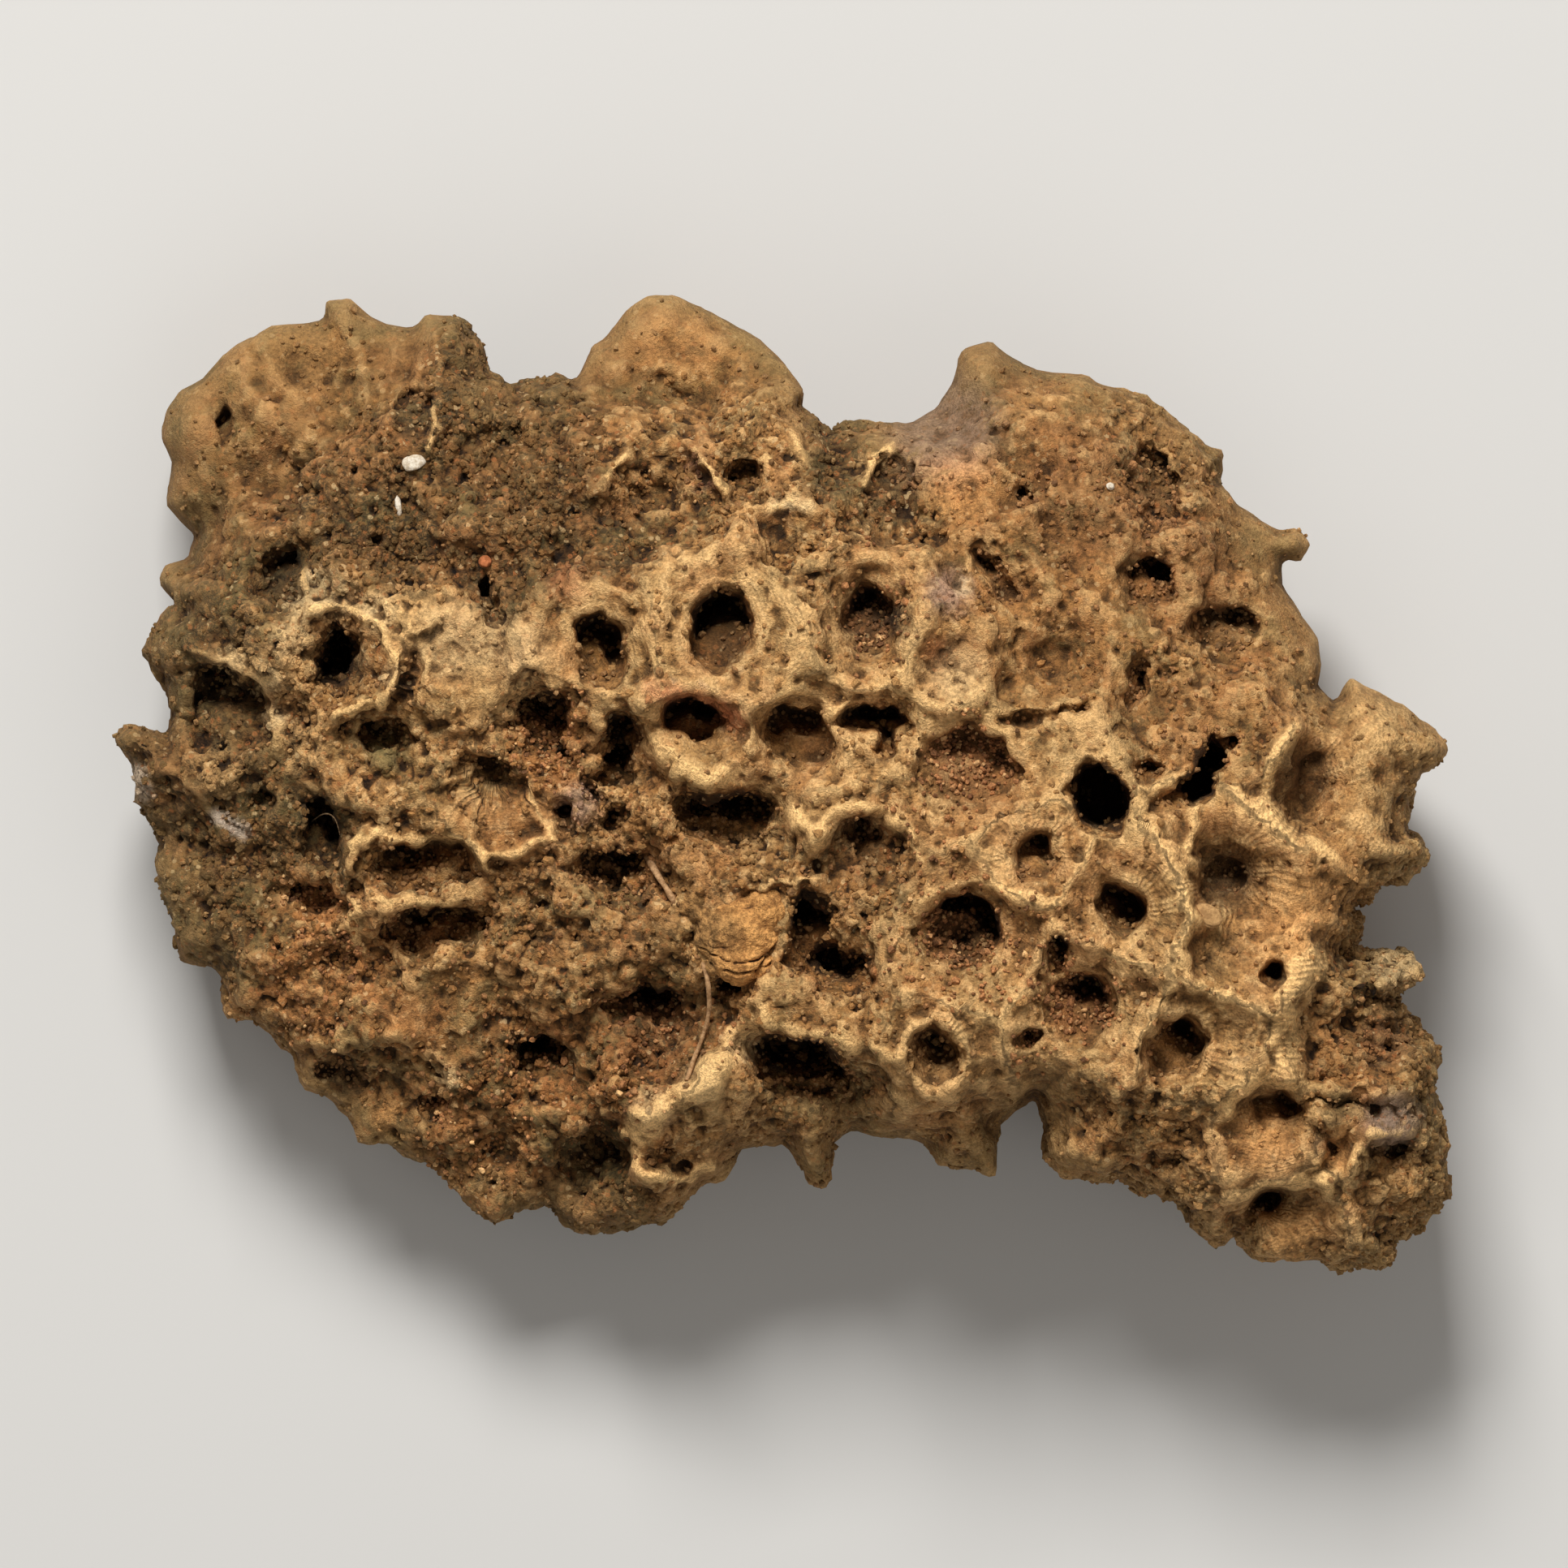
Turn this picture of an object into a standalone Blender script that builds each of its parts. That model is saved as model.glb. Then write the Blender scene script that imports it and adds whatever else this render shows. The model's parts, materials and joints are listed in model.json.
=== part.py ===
"""Fossil colonial rugose coral, lying on its broken base with the cups upwards.

The colony is a lump of corallites that grew wall to wall. Seen from above, its outline is extruded to a
thin slab, and each point of that slab is then moved up to the face of cups or down to the ribbed
underside. The slab becomes one skin with a voxel remesh, is roughened, thinned out to few triangles,
and cut off flat where it rests. A lump of dried clay sits in a broken cup as a piece of its own.

The frame has its origin at the middle of the base, +X to the right and +Y to the top of the usual view
from above, and +Z up. Shapes are worked out in millimetres and scaled to metres at the end.
"""

import itertools
import math
from typing import NamedTuple

import bpy
import numpy as np
from mathutils import Matrix

METRES_PER_MM = 0.001

# Driving dimensions, in millimetres
EDGE_THICKNESS = 4.0    # Between the two faces, where they meet at the outline.
SHOULDER = 6.5          # How far in from the outline the upper face rounds off.
FLANK = 15.0            # How far in from the outline the underside comes down to the base.
LEAST_FLOOR = 3.5       # Rock left under the deepest pits.
BASE_CUT = 0.35         # How much of the underside the flat base takes off.
WALL_WIDTH = 0.8
CREST_ROUND = 0.22      # Half width of the worn top of a wall.
LEVEL_STEP = 0.72       # 1 where each cup keeps its own height, 0 where heights run smoothly together.
LEVEL_REACH = 7.0       # How far neighbouring heights are averaged.
RIB_COUNT = 31          # Corallites' sides round the underside.
RIB_DEPTH = 1.5
UPPER_TAPER = 0.24      # How wide a pit's wall is for its bore, on the side that leans over it.
LOWER_TAPER = 0.70      # The same on the side that its floor rises to.
LOW_SHARE = 0.22        # How deep the floor still is there, for the whole depth.
STRAIGHT_FROM = 13.5    # Pits deeper than this go straight down all over.
LEAN_FROM = 8.0         # Past this, the corallites lean to the right.
PIT_EDGE = 1.06         # Where a pit's wall begins, for its bore, on the side that leans over it.
PIT_SPREAD = 0.32       # How much further out it begins on the other side.
FLOOR_UNEVEN = 0.3      # How much a pit's floor wanders, for its bore.
CREST_UNEVEN = 0.4      # How much the walls' height changes along them.
BUMP_HEIGHT = 0.75      # Of the broad bumps, which are lower where the walls between cups are tall.
WALLS_WITHOUT_BUMPS = 1.3

SLAB_GRID = 0.5         # Mesh size of the slab before it is shaped.
SKIN_GRID = 0.75        # Mesh size of the skin before it is thinned out.
COLONY_TRIANGLES = 8600
CLAY_TRIANGLES = 420
GAP = 0.3               # Between the clay and the seat that it lies in.

BASE_COLOUR = (0.42, 0.26, 0.12, 1.0)
CLAY_COLOUR = (0.52, 0.31, 0.12, 1.0)


class Cup(NamedTuple):
    """One corallite's mouth, in millimetres, seen from above."""

    name: str
    centre: tuple[float, float]                 # Middle of the mouth.
    radius: float                               # Mean radius of the mouth.
    top: float                                  # Height of its rim above the base.
    drop: float                                 # Fall of the slope from the rim to the pit.
    pit: tuple[float, float] | None = None      # Middle of the pit, if it isn't the mouth's.
    bore: tuple[float, float] = (1.0, 1.0)      # Half width and half length of the pit.
    turn: float = 0.0                           # Turn of that width from +X, in degrees.
    depth: float = 0.0                          # How far the pit goes down.
    ring: float = 0.0                           # Height of a raised ring round the pit.


class Hole(NamedTuple):
    """A broken opening that isn't a cup of its own."""

    pit: tuple[float, float]
    bore: tuple[float, float]
    turn: float
    depth: float


class Ridge(NamedTuple):
    """A wall's edge or a lip that stands up along a line, or a crack where its height is below 0."""

    name: str
    route: tuple[tuple[float, float], ...]
    height: float
    width: float


# The outline, clockwise from the spur at the far left
LEFT_EDGE = (
    (-54.9, 3.7), (-53.4, 4.5), (-50.7, 3.5), (-49.9, 5.5), (-50.8, 8.7), (-52.3, 10.7), (-50.8, 13.7),
    (-49.7, 14.3), (-51.2, 16.4), (-50.9, 17.9), (-48.9, 18.3), (-48.5, 20.4), (-50.8, 22.9), (-50.3, 26.2),
    (-51.2, 28.4), (-50.9, 30.6), (-49.7, 32.3), (-47.8, 33.3), (-46.1, 35.2), (-44.7, 36.1),
)
TOP_EDGE = (
    (-42.0, 37.7), (-39.0, 37.9), (-37.6, 38.2), (-37.6, 39.7), (-35.5, 39.9), (-34.6, 38.7), (-32.5, 37.7),
    (-30.3, 37.4), (-29.2, 38.6), (-26.5, 38.1), (-24.7, 35.6), (-24.5, 33.9), (-22.8, 32.5), (-20.9, 33.1),
    (-16.8, 33.1), (-15.4, 36.1), (-14.5, 36.3), (-12.7, 38.7), (-10.8, 40.1), (-8.9, 40.1), (-5.3, 38.5),
    (-1.8, 36.5), (0.3, 34.5), (2.0, 32.1), (1.5, 30.9), (4.2, 28.6), (5.8, 29.2), (10.7, 29.5),
    (12.9, 30.6), (14.0, 32.5), (14.9, 35.3), (15.5, 35.9), (17.4, 36.1), (18.7, 35.0), (21.2, 33.8),
    (25.3, 33.5), (26.1, 32.9), (30.1, 31.5), (32.6, 29.6), (34.3, 28.7), (35.1, 27.3), (36.1, 27.1),
)
RIGHT_EDGE = (
    (36.1, 24.9), (37.8, 22.8), (40.8, 20.7), (42.8, 20.7), (43.6, 19.5), (42.9, 18.3), (41.3, 18.3),
    (41.2, 16.3), (42.7, 14.2), (44.3, 11.6), (44.6, 9.5), (44.1, 7.8), (45.5, 6.4), (46.3, 7.0),
    (47.1, 8.6), (48.5, 7.6), (51.3, 6.4), (52.1, 5.5), (54.1, 3.8), (54.6, 2.5), (54.1, 1.6), (52.1, 0.0),
    (51.7, -4.1), (52.9, -4.7), (53.4, -6.4), (51.9, -7.2), (51.6, -8.3), (49.3, -8.5), (48.7, -9.7),
    (47.2, -9.9), (47.1, -11.5), (47.6, -12.4), (46.6, -13.1), (46.6, -14.0), (48.0, -14.6), (51.7, -14.5),
    (53.0, -15.8), (50.4, -17.7), (52.1, -19.5), (53.8, -21.6), (53.7, -25.1), (54.5, -31.1), (54.9, -33.1),
    (54.2, -34.5), (51.8, -37.0), (50.4, -37.7), (50.0, -39.4),
)
LOWER_EDGE = (
    (45.9, -40.1), (44.6, -39.1), (42.3, -39.4), (39.2, -39.4), (37.5, -37.0), (36.3, -38.4), (33.3, -35.3),
    (31.9, -34.0), (30.1, -33.9), (28.1, -32.5), (26.3, -33.1), (23.2, -32.5), (21.8, -31.1), (21.9, -28.3),
    (21.1, -25.8), (17.9, -27.9), (17.6, -32.5), (16.2, -31.9), (13.1, -31.7), (12.3, -29.7), (5.7, -28.6),
    (4.3, -30.0), (3.8, -33.7), (2.6, -32.9), (1.8, -31.6), (0.4, -29.7), (-3.4, -30.2), (-4.6, -32.8),
    (-6.3, -33.1), (-9.1, -36.1), (-11.7, -36.8), (-16.7, -37.5), (-19.1, -34.9), (-21.4, -34.9),
    (-23.6, -36.5), (-25.9, -34.7), (-28.1, -32.3), (-32.7, -29.9), (-34.9, -29.8), (-35.3, -28.1),
    (-37.3, -26.0), (-39.4, -25.1), (-40.1, -22.5), (-43.5, -19.6), (-45.5, -19.3), (-46.2, -16.1),
    (-47.0, -15.0), (-48.9, -14.9), (-49.9, -13.1), (-50.8, -10.1), (-51.5, -6.5), (-50.9, -5.2),
    (-52.9, -1.9), (-53.3, 1.6),
)
OUTLINE = LEFT_EDGE + TOP_EDGE + RIGHT_EDGE + LOWER_EDGE

# Height of the outline's edge at places round it, as (x, y, height)
EDGE_HEIGHTS = (
    (-54, 3, 17), (-50, 29, 12), (-36, 39, 13), (-26, 37, 15), (-20, 33, 19), (-9, 40, 15), (3, 30, 20),
    (16, 36, 17), (30, 31, 17), (42, 20, 18), (44, 10, 17), (47, 8, 20), (54, 3, 19), (52, -6, 18),
    (47, -12, 19), (53, -16, 20), (54, -33, 18), (46, -40, 17), (36, -38, 18), (22, -30, 19), (15, -31, 18),
    (4, -33, 12), (0, -29, 15), (-8, -35, 15), (-17, -37, 14), (-25, -36, 13), (-35, -29, 14),
    (-45, -18, 14), (-51, -8, 15),
)
EDGE_HEIGHT_REACH = 9.0

CUPS = (
    # The pale belt across the middle, which stands highest
    Cup("great_eye", (-4.4, 11.9), 6.3, 35.0, 1.8, (-4.7, 12.4), (2.9, 3.1), 0, 12.0, 0.5),
    Cup("left_eye", (-15.7, 11.4), 5.2, 33.5, 1.4, (-15.2, 10.8), (2.2, 2.6), 10, 12.0, 0.3),
    Cup("right_eye", (6.6, 14.4), 4.6, 34.0, 3.2, (7.2, 13.4), (1.6, 2.5), 10, 8.0),
    Cup("lower_eye", (-6.0, 4.2), 3.8, 33.2, 2.6, (-7.4, 5.2), (2.3, 1.6), -10, 10.0),
    Cup("hooded_cup", (2.3, 3.4), 4.3, 32.5, 2.4, (1.9, 4.5), (3.0, 2.1), -8, 5.5),
    Cup("wedge_cup", (8.3, 4.0), 3.2, 32.0, 1.6, (7.9, 5.6), (2.8, 1.2), -4, 10.0),
    Cup("red_bowl", (14.9, 0.9), 5.2, 32.6, 1.0, (15.3, 1.7), (4.3, 3.1), -8, 3.8),
    Cup("west_ledge", (-27.0, 11.0), 4.4, 31.0, 0.4),
    Cup("sandy_spot", (13.9, 10.2), 3.4, 33.4, 0.9),
    Cup("pale_saddle", (4.2, -2.6), 3.0, 33.2, 0.3),
    Cup("pale_bridge", (22.3, 2.6), 4.0, 32.8, 0.4),

    # The raised group on the right
    Cup("small_eye", (20.9, -5.9), 4.0, 34.0, 0.9, (21.2, -6.1), (1.7, 1.8), 0, 6.0, 0.5),
    Cup("round_eye", (28.3, -10.7), 4.6, 34.5, 2.0, (27.9, -10.5), (1.5, 2.0), 0, 9.0, 0.6),
    Cup("great_funnel", (40.1, -10.3), 7.3, 32.8, 5.6, (36.5, -7.9), (1.9, 2.3), 0, 2.6),
    Cup("east_funnel", (45.9, -1.3), 6.8, 29.5, 5.5, (43.2, 0.0), (1.2, 2.0), -10),
    Cup("deep_bowl", (15.6, -12.5), 5.6, 33.0, 1.4, (14.9, -12.1), (3.4, 2.8), 5, 12.0),
    Cup("sandy_eye", (25.8, -18.6), 5.5, 33.6, 2.0, (24.6, -18.6), (2.6, 2.8), 0, 7.5),
    Cup("tube_mouth", (12.8, -22.6), 4.3, 33.0, 0.8, (12.8, -22.6), (2.1, 2.2), 0, 7.0, 1.8),
    Cup("south_eye", (34.3, -21.9), 4.8, 32.4, 1.8, (32.8, -21.9), (1.9, 2.4), -25, 7.0, 0.9),
    Cup("sand_cup", (47.6, -21.6), 6.2, 29.0, 2.4, (49.4, -21.2), (3.4, 2.2), 0, 1.6),
    Cup("mauve_slab", (50.0, -27.9), 3.4, 27.6, 0.3),
    Cup("ragged_cup", (39.4, -28.2), 4.6, 29.5, 3.6, (40.6, -26.5), (2.0, 0.9), -8, 4.5),
    Cup("foot_cup", (41.8, -36.4), 4.6, 25.5, 3.2, (39.9, -34.8), (2.0, 1.0), 30, 7.0),
    Cup("east_cave", (50.2, -33.2), 4.2, 25.0, 1.6, (50.2, -30.6), (2.1, 0.8), 6, 6.0),
    Cup("smooth_nook", (45.8, -30.4), 2.4, 27.2, 0.8),
    Cup("ragged_south", (31.2, -29.2), 3.8, 28.5, 0.8, (30.9, -31.2), (1.1, 0.5), 0, 5.0),
    Cup("south_stub", (24.8, -28.6), 3.6, 29.0, 0.6),
    Cup("hanging_stub", (15.2, -29.6), 3.0, 24.5, 0.6),
    Cup("east_rim", (47.2, -13.8), 3.2, 28.5, 1.4),

    # Broken cups on the left of the belt
    Cup("left_window", (-35.7, 10.7), 4.9, 29.5, 2.6, (-36.4, 10.5), (1.25, 2.6), -5, 14.0),
    Cup("left_hollow", (-45.2, 5.6), 4.5, 25.0, 1.6, (-45.6, 5.8), (3.3, 3.9), 0, 7.0),
    Cup("green_cup", (-32.3, 2.6), 4.1, 28.4, 1.8, (-32.1, 3.6), (2.4, 1.5), 0, 4.5),
    Cup("west_cup", (-40.7, 17.4), 3.2, 25.8, 0.8, (-40.9, 17.0), (1.8, 2.6), -10, 6.0),
    Cup("split_cave", (-19.4, 4.0), 4.1, 28.4, 1.4, (-19.0, 5.3), (2.6, 2.5), -20, 11.0),
    Cup("comb_wall", (-13.4, 1.6), 3.2, 27.6, 0.8),
    Cup("striped_slope", (-22.9, -2.9), 4.8, 27.8, 2.6, (-23.7, 1.4), (1.5, 0.9), 0, 4.0),
    Cup("arched_cup", (-30.1, -7.3), 4.8, 27.4, 2.0, (-29.2, -7.0), (4.2, 2.2), -8, 5.0),
    Cup("slot_cave", (-28.1, -12.2), 4.6, 25.2, 2.2, (-28.1, -11.9), (4.7, 1.5), 0, 8.0),
    Cup("red_groove", (-39.4, -10.8), 4.2, 21.8, 1.8, (-38.7, -9.5), (3.2, 1.0), 0, 4.0),
    Cup("hair_cave", (-37.7, -4.6), 3.6, 25.0, 1.4, (-37.8, -3.9), (2.1, 3.0), 0, 9.0),
    Cup("west_knob", (-46.2, -7.6), 5.2, 20.6, 0.8, (-47.4, -5.3), (1.3, 1.0), 0, 2.6),

    # The hollows below the belt
    Cup("ledge_cave", (-4.0, -3.4), 5.4, 29.6, 1.6, (-4.6, -2.5), (4.4, 2.4), -4, 10.0),
    Cup("keyhole", (6.5, -6.6), 4.3, 31.8, 3.4, (6.7, -4.0), (1.5, 1.3), 0, 6.0),
    Cup("long_cave", (-13.1, -8.4), 4.8, 28.0, 1.6, (-13.6, -7.8), (3.7, 2.3), -12, 7.5),
    Cup("clay_seat", (-3.1, -12.3), 4.5, 29.4, 0.4),
    Cup("mid_slope", (-19.0, -13.0), 4.8, 26.4, 0.9),
    Cup("broken_cave", (3.6, -13.6), 3.4, 30.0, 1.0, (2.3, -12.3), (1.8, 3.5), -6, 13.0),
    Cup("pale_shelf", (3.4, -19.0), 4.4, 31.4, 0.5),
    Cup("sand_slide", (-10.4, -21.3), 5.1, 25.6, 3.0, (-10.8, -18.0), (3.0, 1.3), 0, 11.0),
    Cup("gravel_pit", (-20.1, -24.4), 5.0, 21.0, 1.8, (-19.9, -22.5), (2.5, 1.9), 10, 12.0),
    Cup("south_cave", (1.8, -24.6), 5.2, 26.0, 2.4, (2.0, -23.9), (4.6, 2.5), -14, 12.0),
    Cup("stub_mouth", (-8.7, -30.4), 3.8, 24.5, 0.8, (-10.2, -30.0), (1.3, 1.0), 0, 4.0),
    Cup("crumb_spur", (-5.2, -25.8), 2.8, 28.0, 0.4),
    Cup("low_flat", (-27.2, -17.8), 5.0, 23.0, 0.8),
    Cup("west_slope", (-36.8, -15.8), 4.8, 21.0, 0.8),
    Cup("folded_foot", (-33.5, -26.0), 4.0, 17.4, 1.0),
    Cup("gravel_tail", (-24.6, -30.2), 3.8, 17.6, 1.4),
    Cup("south_shade", (-15.4, -31.8), 4.0, 17.5, 2.4, (-15.6, -31.4), (2.6, 1.3), 15, 3.0),

    # The worn slope along the top
    Cup("curled_cup", (-1.7, 26.4), 3.7, 28.6, 1.0, (-3.4, 25.2), (1.3, 1.7), 20, 7.0),
    Cup("sunk_dish", (-10.1, 24.2), 4.4, 28.4, 2.8),
    Cup("sand_ring", (1.3, 20.6), 3.5, 31.2, 0.8, (1.1, 20.6), (2.7, 2.3), 0, 0.0, 0.9),
    Cup("half_moon", (9.4, 23.9), 3.8, 28.6, 1.0, (9.2, 23.3), (2.4, 3.8), 0, 1.8),
    Cup("smooth_dish", (14.9, 23.8), 3.6, 28.2, 0.5),
    Cup("worn_ring", (20.5, 27.4), 3.4, 26.2, 0.6, (20.3, 27.4), (2.0, 2.0), 0, 0.0, 0.3),
    Cup("north_oval", (31.4, 24.2), 3.6, 25.6, 1.0, (30.9, 24.2), (2.0, 3.6), 12, 3.6),
    Cup("north_cup", (30.4, 16.6), 3.8, 29.2, 1.0, (30.7, 16.7), (2.3, 2.5), -15, 8.0),
    Cup("east_cup", (37.8, 12.3), 4.6, 26.4, 1.2, (36.8, 12.6), (2.9, 2.3), -10, 5.0),
    Cup("torn_cup", (18.0, 16.6), 4.0, 31.0, 1.2, (17.3, 17.0), (2.3, 0.9), -35, 5.0),
    Cup("long_dish", (22.2, 9.9), 4.6, 30.6, 2.0),
    Cup("pocked_cup", (31.0, 7.4), 3.9, 31.0, 1.2, (29.5, 8.1), (1.0, 1.5), -15, 6.0),
    Cup("comb_cup", (38.0, 4.6), 3.8, 30.6, 0.5),
    Cup("mottled_slope", (24.8, 20.4), 3.8, 28.8, 0.8),
    Cup("east_slope", (38.2, 18.6), 3.4, 23.6, 0.6),
    Cup("slit_cup", (-24.4, 18.2), 4.6, 29.6, 1.4, (-23.3, 15.3), (0.8, 2.2), 8, 8.0),
    Cup("worn_dish", (-22.7, 27.6), 4.9, 25.0, 1.4),
    Cup("lobe_dish", (-39.9, 34.3), 5.6, 20.0, 2.2),
    Cup("top_lobe", (-8.1, 35.4), 5.2, 20.6, 1.8, (-8.1, 31.9), (1.0, 0.7), 0, 3.0),
    Cup("sand_flat", (-16.8, 20.2), 4.6, 29.4, 0.7),
    Cup("dark_flat", (-31.4, 23.0), 4.8, 25.8, 1.0),
    Cup("north_west_side", (-45.6, 26.6), 4.6, 17.6, 0.6, (-45.9, 28.8), (0.6, 1.9), 0, 4.5),
    Cup("north_horn", (15.6, 31.6), 3.4, 23.4, 0.4),
    Cup("north_saddle", (4.6, 26.8), 2.6, 27.0, 0.4),
)

HOLES = (
    Hole((26.5, -1.1), (2.2, 3.0), 22, 14.0),
    Hole((24.6, -0.5), (1.2, 0.9), 10, 10.0),
    Hole((30.3, 1.3), (1.5, 0.8), -8, 6.0),
    Hole((34.4, -0.6), (1.4, 1.4), 0, 14.0),
    Hole((35.2, 1.4), (1.1, 2.4), -12, 14.0),
    Hole((36.6, 3.0), (1.3, 0.7), 25, 8.0),
    Hole((32.6, -1.4), (2.0, 0.9), 8, 5.0),
    Hole((22.9, -14.3), (1.0, 1.6), 8, 9.0),
    Hole((40.8, -15.7), (1.2, 0.8), 20, 9.0),
    Hole((20.3, -21.1), (1.1, 0.6), 0, 6.0),
    Hole((24.7, -6.5), (0.6, 0.6), 0, 2.0),
    Hole((-17.6, -3.3), (0.7, 1.7), 12, 8.0),
    Hole((-13.7, -3.1), (0.7, 1.4), -6, 8.0),
    Hole((-17.4, 2.0), (0.7, 0.8), 30, 6.0),
    Hole((-18.4, 4.2), (0.8, 1.6), 10, 8.0),
    Hole((-12.3, 4.0), (1.9, 1.6), -20, 10.0),
    Hole((-13.6, 1.2), (0.8, 1.5), 8, 8.0),
    Hole((-15.5, -0.6), (1.0, 0.5), 0, 4.0),
    Hole((-23.1, -7.4), (1.1, 0.5), -12, 4.0),
    Hole((-9.0, -5.2), (0.9, 0.6), 30, 4.0),
    Hole((-2.1, -7.0), (0.6, 0.5), 0, 5.0),
    Hole((-7.7, -13.8), (0.6, 0.8), 0, 5.0),
    Hole((-4.2, -17.5), (1.4, 1.2), 30, 10.0),
    Hole((4.7, -15.3), (2.9, 2.0), -25, 12.0),
    Hole((-12.9, 2.0), (0.8, 2.2), 4, 9.0),
    Hole((8.3, 3.6), (0.9, 1.7), 10, 8.0),
    Hole((-14.4, -9.0), (1.7, 1.9), 20, 6.0),
    Hole((-34.6, -8.6), (0.7, 1.2), 0, 4.0),
    Hole((43.6, -24.5), (1.3, 0.35), 10, 4.0),
    Hole((42.9, -20.1), (0.4, 0.4), 0, 2.0),
    Hole((45.7, -26.9), (1.3, 0.5), -12, 4.0),
    Hole((48.4, -17.9), (2.0, 0.7), 4, 3.5),
    Hole((47.5, -32.2), (0.45, 0.6), 0, 4.0),
    Hole((44.0, -28.9), (0.9, 0.9), 0, 4.0),
    Hole((44.5, -31.3), (0.6, 1.6), 5, 4.0),
    Hole((-42.6, -1.4), (1.6, 0.6), 25, 4.0),
    Hole((36.5, -29.8), (0.4, 1.1), 20, 5.0),
    Hole((19.6, 23.1), (0.5, 1.3), 30, 3.5),
    Hole((24.2, 25.9), (1.0, 0.35), 20, 2.0),
    Hole((31.9, 8.9), (0.5, 0.5), 0, 3.0),
    Hole((-2.6, 25.0), (1.6, 0.7), 0, 3.0),
    Hole((-35.9, -24.2), (2.3, 1.0), 0, 3.5),
    Hole((-30.0, 30.0), (1.6, 2.5), 0, 3.2),
    Hole((-28.7, -26.7), (1.2, 0.9), 20, 4.0),
    Hole((-31.9, -29.2), (0.6, 0.4), 0, 2.0),
    Hole((-8.0, -31.3), (1.0, 0.7), 20, 3.0),
)

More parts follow.
